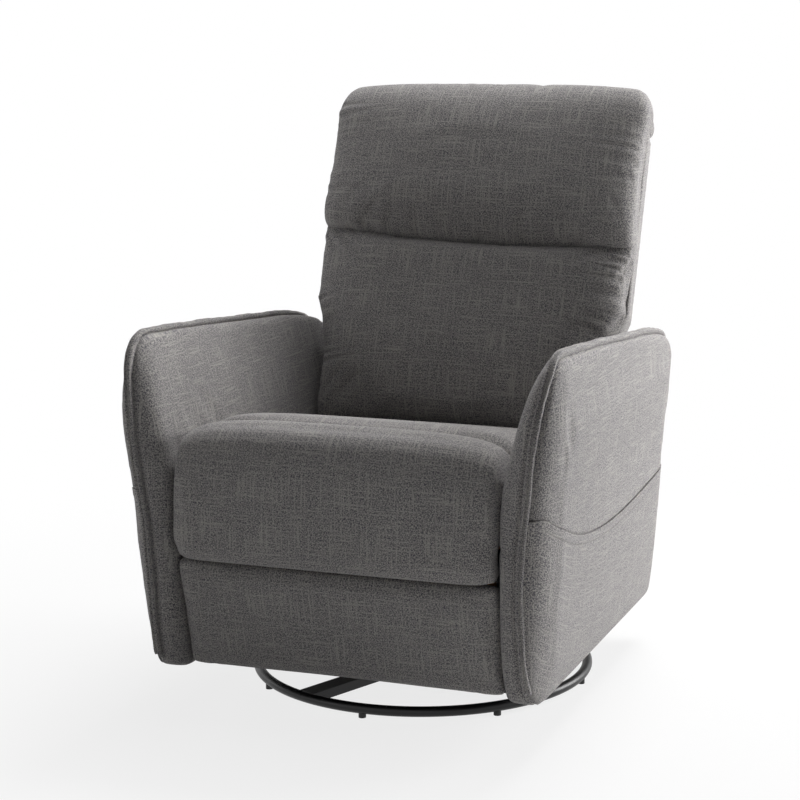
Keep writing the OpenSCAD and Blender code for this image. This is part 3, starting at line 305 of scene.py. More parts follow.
# Painted shade: between the threads the colour is darkened as if shaded there, on top of the patches' random
# tone
crown = math_node(weave, "MULTIPLY_ADD", round_u, 0.5, math_node(weave, "MULTIPLY", round_v, 0.5))
tone_and_gap_shade = math_node(weave, "MULTIPLY", patches, math_node(weave, "MULTIPLY_ADD", crown, 0.55, 0.65))
grey = add_node(weave, "ShaderNodeCombineColor", {0: tone_and_gap_shade, 1: tone_and_gap_shade, 2: tone_and_gap_shade})
colour = blend_colour(weave, 1.0, colour, grey.outputs[0], "MULTIPLY")
flat_way = math_node(weave, "SUBTRACT", 1.0, upright)
top_u = math_node(weave, "MULTIPLY", math_node(weave, "MULTIPLY_ADD", slub_u, 0.5, round_u), upright)
top_v = math_node(weave, "MULTIPLY", math_node(weave, "MULTIPLY_ADD", slub_v, 0.5, round_v), flat_way)
weave.links.new(colour, outof.inputs["Color"])
weave.links.new(math_node(weave, "ADD", top_u, top_v), outof.inputs["Height"])
weave.links.new(math_node(weave, "MULTIPLY_ADD", patches, -0.1, 1.02), outof.inputs["Roughness"])
print("weave group with", len(weave.nodes), "nodes")

# %% The wear group
wear, into, outof = shader_group("worn_metal", Base=(0.02, 0.02, 0.02, 1), Rubbed=(0.08, 0.08, 0.08, 1),
                                 Roughness=0.4, Fleck=600.0)
vector = into.outputs["Vector"]
blotch = noise(wear, vector, 22.0, 4.0, 0.6)
fleck = noise(wear, vector, into.outputs["Fleck"])
rub = math_node(wear, "MULTIPLY_ADD", blotch, 3.0, -1.35, clamp=True)
dots = math_node(wear, "MULTIPLY_ADD", fleck, 3.5, -1.6, clamp=True)
mask = math_node(wear, "MULTIPLY_ADD", rub, 0.6, math_node(wear, "MULTIPLY", dots, 0.25), clamp=True)
smooth = math_node(wear, "SUBTRACT", into.outputs["Roughness"], 0.12)
colour = blend_colour(wear, mask, into.outputs["Base"], into.outputs["Rubbed"])
wear.links.new(colour, outof.inputs["Color"])
wear.links.new(fleck, outof.inputs["Height"])
wear.links.new(math_node(wear, "MULTIPLY_ADD", blotch, 0.25, smooth), outof.inputs["Roughness"])
print("wear group with", len(wear.nodes), "nodes")

# %% The grain group
grain, into, outof = shader_group("sawn_grain", Early=(0.6, 0.42, 0.25, 1), Late=(0.35, 0.2, 0.1, 1))
vector = into.outputs["Vector"]
wave = add_node(grain, "ShaderNodeTexWave", {"Vector": vector, "Scale": 1.6, "Distortion": 5.0,
                                             "Detail": 3.0, "Detail Scale": 1.4}, wave_type="RINGS")
fibre = noise(grain, stretched(grain, vector, (12, 1, 12)), 14.0, 3.0, 0.7)
rings = math_node(grain, "MULTIPLY", wave.outputs["Fac"], 0.65)
rings = math_node(grain, "MULTIPLY_ADD", fibre, 0.35, rings)
dull = math_node(grain, "MULTIPLY_ADD", noise(grain, vector, 2.2, 3.0), 0.2, 0.55)
colour = blend_colour(grain, rings, into.outputs["Early"], into.outputs["Late"])
grain.links.new(colour, outof.inputs["Color"])
grain.links.new(fibre, outof.inputs["Height"])
grain.links.new(dull, outof.inputs["Roughness"])
print("grain group with", len(grain.nodes), "nodes")

# %% [markdown]
# ## Finishes
#
# A finish is one Principled shader fed by a group. Numbers that are the same all over, such as
# the sheen of the cloth or the shine of the paint, are set on the shader itself.

# %% Finish helpers


def finish(name, group, values, bump, distance, uv_map=None, scale=(1, 1, 1), **shader):
    """A material: the group's colour, roughness and height go into one Principled shader."""
    material, tree = new_material(name)
    if uv_map:
        vector = add_node(tree, "ShaderNodeUVMap", uv_map=uv_map).outputs[0]
    else:
        vector = stretched(tree, add_node(tree, "ShaderNodeTexCoord").outputs["Object"], scale)
    body = add_node(tree, "ShaderNodeGroup", {"Vector": vector, **values}, node_tree=group)
    relief = add_node(tree, "ShaderNodeBump", {"Strength": bump, "Distance": distance,
                                               "Height": body.outputs["Height"]})
    inputs = {label.replace("_", " "): value for label, value in shader.items()}
    inputs |= {"Base Color": body.outputs["Color"], "Roughness": body.outputs["Roughness"],
               "Normal": relief.outputs[0]}
    principled = add_node(tree, "ShaderNodeBsdfPrincipled", inputs)
    add_node(tree, "ShaderNodeOutputMaterial", {"Surface": principled.outputs[0]})
    return material


def woven(name, dark, light, bump, distance, **more):
    return finish(name, weave, {"Dark": (*dark, 1), "Light": (*light, 1)}, bump, distance, **more)


def worn(name, base, rubbed, roughness, bump, **more):
    values = {"Base": (*base, 1), "Rubbed": (*rubbed, 1), "Roughness": roughness}
    return finish(name, wear, values, bump, 0.0002, **more)


def sawn(name, early, late, bump, distance):
    return finish(name, grain, {"Early": (*early, 1), "Late": (*late, 1)}, bump, distance)


# %% Finishes
linen = woven("grey_linen", (0.074, 0.069, 0.088), (0.50, 0.479, 0.442), 0.5, 0.0006, uv_map="weave",
              Sheen_Weight=0.3, Sheen_Roughness=0.4, Sheen_Tint=(1.0, 0.97, 1.0, 1))
dust_black = woven("black_dust_cloth", (0.012, 0.012, 0.013), (0.035, 0.035, 0.036), 0.4, 0.0004,
                   uv_map="weave")
thread = worn("sewing_thread", (0.36, 0.355, 0.34), (0.44, 0.43, 0.4), 0.8, 0.2)
zinc = worn("zinc_plate", (0.55, 0.55, 0.53), (0.7, 0.69, 0.64), 0.32, 0.08, Metallic=1.0)
FINISHES = {
    "linen": linen,
    "zinc_steel": zinc,
    "black_metal": worn("black_base_paint", (0.004, 0.004, 0.005), (0.012, 0.012, 0.012), 0.38, 0.05,
                        Specular_IOR_Level=0.35),
    "mech_steel": worn("mechanism_paint", (0.03, 0.03, 0.034), (0.09, 0.09, 0.095), 0.45, 0.1,
                       Metallic=0.4),
    "black_plastic": worn("foot_plastic", (0.012, 0.012, 0.012), (0.04, 0.04, 0.04), 0.6, 0.15),
    "cage_plastic": worn("cage_nylon", (0.62, 0.58, 0.46), (0.7, 0.67, 0.56), 0.5, 0.05),
    "frame_wood": sawn("sawn_pine", (0.62, 0.43, 0.25), (0.4, 0.23, 0.11), 0.3, 0.0004),
    "cam_wood": sawn("sanded_beech", (0.5, 0.31, 0.18), (0.33, 0.18, 0.09), 0.15, 0.0003),
    "elastic": woven("black_elastic", (0.01, 0.01, 0.011), (0.04, 0.04, 0.04), 0.5, 0.0005, scale=(1, 0, 1)),
}
print(len(FINISHES), "finishes for the record's slots")

# %% [markdown]
# ## Hard pieces
#
# The tubes, plates, links, boards and balls already have their true shapes, so they stay and only
# get their finish. The record says which finish each of them takes.

# %% Dress the hard pieces
slots = {part["node"]: part["material_slot"] for part in frame["record"]["subparts"]}
for node_name, node_object in frame["nodes"].items():
    node_object.data.materials.clear()
    node_object.data.materials.append(FINISHES[slots[node_name]])
print(len(slots), "nodes have a finish")

# %% [markdown]
# ## Tools for soft pieces
#
# A real cushion is a flat-sewn cover pushed outwards by its filling. It is made the same way
# here: a copy of the measured solid is remeshed into even squares, smoothed a little, and then
# blown up for a moment as cloth with air in it. The seams are pinned meanwhile, so the cloth
# puckers beside them. A cap on how far a point may move keeps the measured size.

# %% Tools: meshes
VOXEL = 0.0065


def copy_of(name, node_name):
    """A copy of a measured node's mesh, its loose triangles merged."""
    bm = bmesh.new()
    bm.from_mesh(frame["nodes"][node_name].data)
    bmesh.ops.remove_doubles(bm, verts=bm.verts, dist=0.00002)
    return mesh_object(name, bm)


def modify(piece, kind, **settings):
    """Puts one modifier on the piece and applies it."""
    step = piece.modifiers.new(kind.lower(), kind)
    for name, value in settings.items():
        setattr(step, name, value)
    graph = bpy.context.evaluated_depsgraph_get()
    mesh = bpy.data.meshes.new_from_object(piece.evaluated_get(graph))
    piece.modifiers.clear()
    old = piece.data
    piece.data = mesh
    bpy.data.meshes.remove(old)


def remesh(piece, size):
    modify(piece, "REMESH", mode="VOXEL", voxel_size=size)


def relax(piece, rounds):
    modify(piece, "SMOOTH", iterations=rounds, factor=0.5)


def subdivide(piece):
    modify(piece, "SUBSURF", levels=1, render_levels=1)


def soft_copy(name, node_name, size=VOXEL, rounds=5):
    """A copy of a measured node in even squares, its edges softened."""
    piece = copy_of(name, node_name)
    remesh(piece, size)
    relax(piece, rounds)
    return piece


def points_of(piece):
    flat = np.empty(len(piece.data.vertices) * 3)
    piece.data.vertices.foreach_get("co", flat)
    return flat.reshape(-1, 3)


def normals_of(piece):
    flat = np.empty(len(piece.data.vertices) * 3)
    piece.data.vertex_normals.foreach_get("vector", flat)
    return flat.reshape(-1, 3)


def move_points(piece, points):
    piece.data.vertices.foreach_set("co", np.ascontiguousarray(points).ravel())
    piece.data.update()


def loop_points(piece):
    """The number of the point at each face corner."""
    numbers = np.empty(len(piece.data.loops), dtype=np.int64)
    piece.data.loops.foreach_get("vertex_index", numbers)
    return numbers


def ramp(value, low, high):
    """0 below low, 1 above high and an even S between."""
    share = np.clip((value - low) / (high - low), 0, 1)
    return share * share * (3 - 2 * share)


def fade(value, low, high):
    """1 below low, 0 above high and an even S between."""
    return ramp(-value, -high, -low)


# %% Tools: blowing up a cover
CLOTH_FRAMES = 12
CLOTH_STIFFNESS = 8.0


def inflate(piece, pinned, pressure, cap, slack=0.0):
    """Cloth with air inside. pinned gives 0 to 1 for each point; cap is the furthest move."""
    start = points_of(piece)
    holding = piece.vertex_groups.new(name="pinned")
    for index, weight in enumerate(pinned):
        if weight > 0.01:
            holding.add([index], float(weight), "REPLACE")
    cloth = piece.modifiers.new("cover", "CLOTH")
    cloth.settings.quality = 3
    cloth.settings.mass = 0.25
    cloth.settings.tension_stiffness = CLOTH_STIFFNESS
    cloth.settings.compression_stiffness = CLOTH_STIFFNESS
    cloth.settings.bending_stiffness = 0.6
    cloth.settings.use_pressure = True
    cloth.settings.uniform_pressure_force = pressure
    cloth.settings.vertex_group_mass = "pinned"
    cloth.settings.effector_weights.gravity = 0
    cloth.settings.shrink_min = -slack
    cloth.collision_settings.use_collision = False
    scene = bpy.context.scene
    for step in range(1, CLOTH_FRAMES + 1):
        scene.frame_set(step)
    graph = bpy.context.evaluated_depsgraph_get()
    blown = piece.evaluated_get(graph).to_mesh()
    flat = np.empty(len(blown.vertices) * 3)
    blown.vertices.foreach_get("co", flat)
    piece.modifiers.clear()
    piece.vertex_groups.clear()
    scene.frame_set(1)
    move = flat.reshape(-1, 3) - start
    far = np.linalg.norm(move, axis=1, keepdims=True)
    move *= np.minimum(1.0, cap / np.maximum(far, 1e-9))
    move_points(piece, start + move)


# %% Tools: seams and gathers


def near_path(points, path):
    """Distance of each point to a chain of straight stretches, and the length along it there."""
    path = np.asarray(path, float)
    best = np.full(len(points), np.inf)
    along = np.zeros(len(points))
    run = 0.0
    for a, b in zip(path[:-1], path[1:]):
        step = b - a
        length = np.linalg.norm(step)
        share = np.clip((points - a) @ step / max(length * length, 1e-12), 0, 1)
        gap = np.linalg.norm(points - (a + share[:, None] * step), axis=1)
        closer = gap < best
        best[closer] = gap[closer]
        along[closer] = run + share[closer] * length
        run += length
    return best, along


def groove(piece, path, depth, width):
    """Draws the surface in along a seam."""
    points = points_of(piece)
    gap, _ = near_path(points, path)
    pull = depth * np.exp(-(gap / width) ** 2)
    move_points(piece, points - normals_of(piece) * pull[:, None])


def gathers(piece, path, height, spacing, reach, seed, share):
    """Small folds that run out square to a seam and die away; share says how much shows where."""
    points = points_of(piece)
    gap, along = near_path(points, path)
    phase = along / spacing + 0.55 * np.sin(along * 23.0 + seed) + 0.35 * np.sin(along * 61.0 + 2 * seed)
    strength = 0.55 + 0.45 * np.sin(along * 37.0 + 3 * seed)
    fold = np.cos(2 * math.pi * phase) * strength * height * np.exp(-gap / reach) * ramp(gap, 0.0, 0.012)
    move_points(piece, points + normals_of(piece) * (fold * share)[:, None])


# %% Tools: the weave's UV map
# A face whose normal leans this far along the axis is an end of the roll of cloth
END_FACE = 0.74
END_SHIFT = (0.37, 0.19)


def middle_loop(piece, axis, start):
    """The closed line of points round the piece's middle section, from the place nearest start."""
    points = points_of(piece)[:, axis]
    bm = bmesh.new()
    bm.from_mesh(piece.data)
    normal = Vector((0, 0, 0))
    normal[axis] = 1
    cut = bmesh.ops.bisect_plane(bm, geom=bm.verts[:] + bm.edges[:] + bm.faces[:], plane_no=normal,
                                 plane_co=normal * (points.min() + points.max()) / 2, clear_inner=True)
    linked = {}
    for edge in cut["geom_cut"]:
        if isinstance(edge, bmesh.types.BMEdge):
            for vert in edge.verts:
                linked.setdefault(vert, []).append(edge.other_vert(vert))
    first = min(linked, key=lambda vert: (vert.co - Vector(start)).length)
    chain, last = [first], None
    while True:
        ways = [way for way in linked[chain[-1]] if way is not last]
        if not ways or ways[0] is first or len(chain) > len(linked):
            break
        last = chain[-1]
        chain.append(ways[0])
    loop = np.array([tuple(vert.co) for vert in chain + [first]])
    bm.free()
    return loop


def lay_weave(piece, across, start):
    """Unrolls the piece round its middle section, so that threads run along and square to it."""
    axis = "XY".index(across)
    others = [k for k in range(3) if k != axis]
    points = points_of(piece)
    loop = middle_loop(piece, axis, start)[:, others]
    run = np.concatenate([[0], np.cumsum(np.linalg.norm(np.diff(loop, axis=0), axis=1))])
    total = run[-1]
    tree = KDTree(len(loop) - 1)
    for index, place in enumerate(loop[:-1]):
        tree.insert((*place, 0), index)
    tree.balance()
    length_at = np.empty(len(points))
    for index, place in enumerate(points[:, others]):
        _, hit, _ = tree.find((*place, 0))
        best = math.inf
        for one in ((hit - 1) % (len(loop) - 1), hit % (len(loop) - 1)):
            step = loop[one + 1] - loop[one]
            share = float((place - loop[one]) @ step) / max(float(step @ step), 1e-12)
            share = min(max(share, 0), 1)
            off = float(np.linalg.norm(place - (loop[one] + share * step)))
            if off < best:
                best = off
                length_at[index] = run[one] + share * (run[one + 1] - run[one])
    corners = loop_points(piece)
    sides = np.array([polygon.loop_total for polygon in piece.data.polygons])
    face = np.repeat(np.arange(len(sides)), sides)
    uv_v = length_at[corners]
    # A face that crosses the start of the loop keeps to one end of it
    first_v = uv_v[np.concatenate([[0], np.cumsum(sides)[:-1]])][face]
    uv_v = np.where(uv_v - first_v > total / 2, uv_v - total, uv_v)
    uv_v = np.where(first_v - uv_v > total / 2, uv_v + total, uv_v)
    facing = np.empty(len(sides) * 3)
    piece.data.polygons.foreach_get("normal", facing)
    end = np.abs(facing.reshape(-1, 3)[face][:, axis]) > END_FACE
    uv_u = np.where(end, points[corners][:, others[0]] + END_SHIFT[0], points[corners, axis])
    uv_v = np.where(end, points[corners][:, others[1]] + END_SHIFT[1], uv_v)
    layer = piece.data.uv_layers.new(name="weave")
    layer.data.foreach_set("uv", np.stack([uv_u, uv_v], axis=1).ravel())


# %% Tools: handing a piece over


def dress(piece, body, replaced, material=linen):
    """The piece's finish, body and the nodes it stands for. A blended piece has no body."""
    piece.data.materials.clear()
    piece.data.materials.append(material)
    piece.data.polygons.foreach_set("use_smooth", [True] * len(piece.data.polygons))
    if body:
        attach(piece, body)
    if replaced:
        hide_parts(*replaced)
    print(piece.name, len(piece.data.polygons), "faces")

# %% [markdown]
# ## Seat
#
# The seat has two padded pieces. The roll hangs over the front in one full curve down to the
# crease above the footrest, and the cushion behind it is flatter and falls to the back. Both are
# foam under tight cloth, so they swell only a little. At both ends of the crease the cloth is
# tacked to the frame, which pinches the corner of the roll.

# %% Seat roll
# How far the lower edge hangs down and out, and how far the rear edge sinks
EDGE_DOWN, EDGE_OUT, REAR_SINK = 0.001, 0.004, 0.006
# How far the corners are pinched backwards and inwards
PINCH_BACK, PINCH_IN = 0.009, 0.003
# The fold at each corner: outwards from the roll's end, back from its front, up from the crease
CORNER_FOLD = ((-0.034, 0.004, 0.004), (-0.018, 0.006, 0.013), (0.002, 0.02, 0.024))
roll = soft_copy("seat_roll", "seat_front_roll")
roll_low, roll_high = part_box("seat_front_roll")
half_seat = roll_high[0]
crease_z = roll_low[2]
x, y, z = points_of(roll).T
hidden = np.maximum(ramp(y, roll_high[1] - 0.02, roll_high[1] - 0.008),
                    fade(z, crease_z + 0.004, crease_z + 0.012))
inflate(roll, hidden, pressure=4, cap=0.004)
subdivide(roll)
# x, y and z are views of the points, so a change to one of them moves the points
points = points_of(roll)
x, y, z = points.T
# The lower edge hangs a little lower and further out in the middle than at its tacked ends
lower = fade(z, crease_z, crease_z + 0.05)
middle = fade(np.abs(x), half_seat - 0.05, half_seat - 0.008)
z -= EDGE_DOWN * lower * middle
y -= EDGE_OUT * lower * middle * fade(y, roll_low[1], roll_low[1] + 0.12)
behind = ramp(y, roll_high[1] - 0.022, roll_high[1])
z -= REAR_SINK * behind * ramp(z, roll_high[2] - 0.06, roll_high[2] - 0.02)
end = ramp(np.abs(x), half_seat - 0.03, half_seat - 0.004)
pinch = np.exp(-((z - crease_z - 0.006) / 0.022) ** 2) * end
y += PINCH_BACK * pinch
x -= PINCH_IN * pinch * np.sign(x)
move_points(roll, points)
for sign in (-1, 1):
    fold = [Vector((sign * (half_seat + outwards), roll_low[1] + back, crease_z + up))
            for outwards, back, up in CORNER_FOLD]
    groove(roll, fold, 0.004, 0.0035)
lay_weave(roll, "X", (0, roll_high[1], roll_low[2]))
dress(roll, "seat", ["seat_front_roll"])

# %% Seat cushion
# How far the top has settled in the middle, all over, and at the front edge
SETTLED, TOP_DROP, FRONT_DROP = 0.007, 0.002, 0.008
REAR_PUSH, CORNER_PUSH = 0.012, 0.024
seat = soft_copy("seat_insert", "seat_cushion")
seat_low, seat_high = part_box("seat_cushion")
under, top_side = seat_low[2] + 0.03, seat_low[2] + 0.06
inflate(seat, fade(points_of(seat)[:, 2], under, top_side), pressure=4, cap=0.003)
subdivide(seat)
points = points_of(seat)
x, y, z = points.T
# It has settled a little towards the back, where people sit
on_top = ramp(z, under, top_side)
sat = ramp(y, seat_low[1] + 0.05, seat_low[1] + 0.25)
at_front = fade(y, seat_low[1], seat_low[1] + 0.035)
z -= (SETTLED * sat + TOP_DROP + FRONT_DROP * at_front) * on_top
# Its rear corners are pushed back under the pillow, so that nothing shows between them
aside = ramp(np.abs(x), 0.10, 0.24)
y += (REAR_PUSH + CORNER_PUSH * aside) * ramp(y, 0.05, 0.11)
move_points(seat, points)
lay_weave(seat, "X", (0, seat_high[1], seat_low[2]))
dress(seat, "seat", ["seat_cushion"])

# %% [markdown]
# ## Back
#
# Two pillows share one outside back. Each is full in the middle and drawn in along its sides,
# where the cover is gathered into the side seam: that is where the small square folds come from.
# Where the pillows meet, each rounds off into a deep crease and they press on each other. They
# are worked in the back's own directions: across, forwards from the frame, and up along it.

# %% The back's directions
BACK_LEAN = math.radians(21.81)
BACK_FOOT = (0.156, 0.400)
SEAM_UP = 0.405
lean_sin, lean_cos = math.sin(BACK_LEAN), math.cos(BACK_LEAN)


def from_back(x, forward, up):
    """A place given across, forwards from the back's frame and up along it."""
    return Vector((x, BACK_FOOT[0] + up * lean_sin - forward * lean_cos,
                   BACK_FOOT[1] + up * lean_cos + forward * lean_sin))


def to_back(points):
    """How far forwards and how far up along the back each point is."""
    dy, dz = points[:, 1] - BACK_FOOT[0], points[:, 2] - BACK_FOOT[1]
    return dz * lean_sin - dy * lean_cos, dy * lean_sin + dz * lean_cos


def facing_forwards(piece):
    """1 where the surface faces forwards from the back's frame, -1 where it faces backwards."""
    normals = normals_of(piece)
    return normals[:, 2] * lean_sin - normals[:, 1] * lean_cos


def skin_of(piece):
    """The piece's surface, for finding the nearest place on it or where a line meets it."""
    bm = bmesh.new()
    bm.from_mesh(piece.data)
    tree = BVHTree.FromBMesh(bm)
    bm.free()
    return tree


def side_seam(tree, low, high, inside, sign):
    """The line where a pillow's front turns into its side, found from within the pillow."""
    steps = 24
    outwards = (from_back(sign, 0.08, 0) - from_back(0, 0, 0)).normalized()
    line = []
    for number in range(steps + 1):
        up = low + (high - low) * number / steps
        hit, _, _, _ = tree.ray_cast(from_back(sign * inside, 0.012, up), outwards)
        if hit is not None:
            line.append(hit)
    return line


# %% Back pillows
lumbar = soft_copy("lumbar_cushion", "lumbar_pillow")
head = soft_copy("head_cushion", "head_pillow")
# Each pillow's node, the lower and upper end of its side seams, where to look for them from and
# a number that sets its gathers apart from the other's
PILLOWS = ((lumbar, "lumbar_pillow", 0.08, 0.37, 0.22, 0), (head, "head_pillow", 0.44, 0.64, 0.24, 4))
# How much wider or narrower the filled cover is than its flat pattern, up along the back
WIDTH_UP = (0.03, 0.10, 0.18, 0.23, 0.27, 0.34, 0.40, 0.43, 0.50, 0.59, 0.63)
WIDTH_SHARES = (-0.030, -0.022, 0.010, -0.006, -0.022, -0.004, 0.010, 0.002, -0.010, -0.004, 0.016)
PAST_CREASE = 0.012
CLOSER_BEHIND = 0.004
FOLD_HEIGHT, FOLD_SPACING, FOLD_REACH = 0.0048, 0.026, 0.040
for pillow, node_name, seam_low, seam_high, inside, apart in PILLOWS:
    inflate(pillow, fade(facing_forwards(pillow), -0.7, -0.3), pressure=4, cap=0.010, slack=0.006)
    subdivide(pillow)
    points = points_of(pillow)
    x, y, z = points.T
    forward, up = to_back(points)
    above_seam = up - SEAM_UP
    across = x / np.abs(x).max()
    aside = np.abs(across)
    hang = 0.020 + 0.018 * (1 - across ** 2) + 0.012 * across
    # Both pillows reach past the crease, so that no gap shows in it, and the upper one hangs down
    if pillow is lumbar:
        reach = (PAST_CREASE - hang) * ramp(above_seam, -0.10, 0) - 0.018 * fade(up, 0.0, 0.08)
        front = 0.012 * ramp(forward, 0.02, 0.06) * fade(up, 0.10, 0.30) * (1 - across ** 4)
        front += 0.016 * ramp(aside, 0.6, 0.85) * ramp(forward, 0.0, 0.03) * fade(up, 0.02, 0.14)
        front -= 0.007 * ramp(above_seam, -0.07, -0.01) * ramp(forward, 0.02, 0.06)
    else:
        reach = -(PAST_CREASE + hang) * fade(above_seam, 0, 0.11)
        reach += (0.022 * (1 - 0.7 * aside ** 3) * ramp(above_seam, 0.17, 0.26)
                  * ramp(forward, -0.06, 0.0))
        front = 0.009 * ramp(forward, 0.0, 0.05) * np.exp(-((above_seam - 0.03) / 0.06) ** 2)
    y += reach * lean_sin - front * lean_cos
    z += reach * lean_cos + front * lean_sin
    # The front is fuller beside the side seam, and everything behind the seam draws in
    fuller = ramp(forward, 0.015, 0.05) * ramp(np.abs(x), 0.20, 0.28)
    above = ramp(up, 0.20, 0.27)
    x *= 1 + fuller * (0.035 - 0.020 * above) - 0.02 * above
    x *= 1 + np.interp(up, WIDTH_UP, WIDTH_SHARES)
    if pillow is lumbar:
        # Low down the pillow reaches out to the arms
        x += 0.003 * np.sign(across) * ramp(aside, 0.7, 0.86) * fade(up, 0.10, 0.20)
    else:
        # Behind the top the cover lies close to the outside back
        behind = ramp(-forward, -0.01, 0.08)
        x *= 1 - behind * (0.070 - 0.035 * ramp(up, 0.60, 0.66))
        y -= CLOSER_BEHIND * behind * lean_cos
        z += CLOSER_BEHIND * behind * lean_sin
    move_points(pillow, points)
    skin = skin_of(pillow)
    on_front = ramp(facing_forwards(pillow), 0.25, 0.75)
    for sign in (-1, 1):
        gathers(pillow, side_seam(skin, seam_low, seam_high, inside, sign), FOLD_HEIGHT,
                FOLD_SPACING, FOLD_REACH, seed=1.7 * sign + apart, share=on_front)
    low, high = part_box(node_name)
    lay_weave(pillow, "X", (0, high[1], low[2]))
    dress(pillow, "back", [node_name])

# %% Outside back
SHELL_NARROWS, SHELL_TAIL = 0.045, 0.034
shell = soft_copy("outside_back", "back_shell", rounds=9)
points = points_of(shell)
x, y, z = points.T
forward, up = to_back(points)
x *= 1 - SHELL_NARROWS * ramp(-forward, 0.0, 0.095) * ramp(up, 0.12, 0.25)
# Its lower edge hangs down inside the rear panel, so that the slot between them is closed
tail = SHELL_TAIL * ramp(-up, 0.015, 0.045) * ramp(-forward, 0.05, 0.075)
y -= tail * lean_sin
z -= tail * lean_cos
move_points(shell, points)
low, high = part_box("back_shell")
lay_weave(shell, "X", (0, low[1], low[2]))
dress(shell, "back", ["back_shell"])

# %% [markdown]
# ## Footrest and rear panel
#
# The footrest is a board with a thin pad, its cloth stretched flat and tacked behind. The rear
# panel closes the chair between the arms, below the outside back.

# %% Footrest and rear panel
EDGE_BAND, UPPER_SWELL, LOWER_SWELL = 0.03, 0.0055, 0.012
footrest = soft_copy("footrest_cover", "footrest_pad", size=0.005, rounds=4)
inflate(footrest, ramp(normals_of(footrest)[:, 1], 0.3, 0.7), pressure=3, cap=0.004)
low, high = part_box("footrest_pad")
points = points_of(footrest)
z = points[:, 2]
z += UPPER_SWELL * ramp(z, high[2] - EDGE_BAND, high[2])
z -= LOWER_SWELL * fade(z, low[2], low[2] + EDGE_BAND)
move_points(footrest, points)
lay_weave(footrest, "X", (0, high[1], low[2]))
dress(footrest, "footrest", ["footrest_pad"])

rear = soft_copy("rear_cover", "rear_panel")
low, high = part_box("rear_panel")
lay_weave(rear, "X", (0, low[1], low[2]))
dress(rear, "rocker", ["rear_panel"])

# %% [markdown]
# ## Dust cloth
#
# A thin black cloth is tacked under the rear panel's lip and hangs forward below the outside back.
# It keeps dust out and closes the slot there. It starts as a flat grid, which is then laid along
# the line that it hangs in, with shallow folds that grow towards its free edge.

# %% Dust cloth
CLOTH_WIDE, CLOTH_RUN, CLOTH_FALL, FOLD = 0.536, 0.042, 0.054, 0.0015
bm = bmesh.new()
bmesh.ops.create_grid(bm, x_segments=90, y_segments=12, size=1)
dust_cloth = mesh_object("dust_cloth", bm)
low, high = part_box("rear_panel")
points = points_of(dust_cloth)
down = (points[:, 1] + 1) / 2
points[:, 0] *= CLOTH_WIDE / 2
points[:, 1] = low[1] + 0.004 - CLOTH_RUN * down
points[:, 2] = high[2] - 0.011 - CLOTH_FALL * down ** 1.15
points[:, 2] += FOLD * down * np.sin(points[:, 0] / 0.011 + 2 * np.sin(points[:, 0] / 0.05))
move_points(dust_cloth, points)
cloth_length = math.hypot(CLOTH_RUN, CLOTH_FALL)
corners = loop_points(dust_cloth)
layer = dust_cloth.data.uv_layers.new(name="weave")
layer.data.foreach_set("uv", np.stack([points[corners, 0], down[corners] * cloth_length], axis=1).ravel())
dress(dust_cloth, "rocker", None, material=dust_black)
print("dust cloth", CLOTH_WIDE, "by", round(cloth_length, 3), "m")

# %% [markdown]
# ## Arms
#
# An arm is a board between two pads under one cover. Its form is found by drawing two outlines:
# the one seen from the front, drawn out along the chair, and the one seen from the side, drawn
# out across it. What both solids share is the arm. It is blown up with the seam under the welt
# held fast, so the outer panel swells beside it. One arm is made, and the other is its mirror.

# %% Arm outlines
ARM_SECTION_SHARES = (
    (0, 0.004), (0.03, 0), (0.58, 0), (0.63, 0.02), (0.65, 0.06), (0.72, 0.165), (0.767, 0.27),
    (0.82, 0.394), (0.845, 0.5), (0.883, 0.587), (0.951, 0.692), (0.99, 0.77), (1, 0.83),
    (0.985, 0.9), (0.951, 0.957), (0.88, 0.988), (0.78, 1), (0.67, 0.995), (0.563, 0.968),
    (0.46, 0.93), (0.37, 0.886), (0.243, 0.798), (0.087, 0.675), (0.02, 0.6), (0, 0.552))
ARM_SIDE_SHARES = (
    (0.1, 0), (0.075, 0.014), (0.0605, 0.042), (0.0407, 0.1125), (0.031, 0.2), (0.0235, 0.288),
    (0.0185, 0.376), (0.0165, 0.464), (0.0125, 0.552), (0.0074, 0.64), (0.0037, 0.728),
    (0.0099, 0.815), (0.0284, 0.903), (0.0481, 0.956), (0.075, 0.994), (0.11, 1), (0.222, 0.9895),
    (0.37, 0.974), (0.568, 0.951), (0.765, 0.931), (0.86, 0.915), (0.93, 0.897), (0.97, 0.87),
    (0.993, 0.82), (1, 0.74), (1, 0.1), (0.992, 0.04), (0.975, 0.008), (0.95, 0))
WELT_FRONT_SHARES = (
    (0.456, 0.0605, 0.042), (0.417, 0.0407, 0.1125), (0.408, 0.031, 0.2), (0.398, 0.0235, 0.288),
    (0.408, 0.0185, 0.376), (0.437, 0.0165, 0.464), (0.495, 0.0125, 0.552), (0.553, 0.0074, 0.64),
    (0.602, 0.0037, 0.728), (0.66, 0.0099, 0.815), (0.738, 0.0284, 0.903), (0.777, 0.0481, 0.956),
    (0.79, 0.075, 0.994))
WELT_TOP_SHARES = (
    (0.79, 0.11, 1), (0.8, 0.222, 0.9895), (0.8, 0.37, 0.974), (0.8, 0.568, 0.951),
    (0.8, 0.765, 0.931), (0.8, 0.86, 0.915), (0.8, 0.93, 0.897), (0.78, 0.975, 0.86))
WELT_REAR_SHARES = (
    (0.74, 0.997, 0.78), (0.66, 1, 0.68), (0.56, 1, 0.56), (0.45, 1, 0.42), (0.41, 1, 0.28),
    (0.417, 0.999, 0.12), (0.456, 0.99, 0.04))
MOUTH_SHARES = (
    (0.03, 0.552), (0.08, 0.52), (0.16, 0.475), (0.26, 0.437), (0.4, 0.413), (0.55, 0.407),
    (0.7, 0.416), (0.85, 0.432), (1.05, 0.452))
pad_low, pad_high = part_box("arm_left_pad")
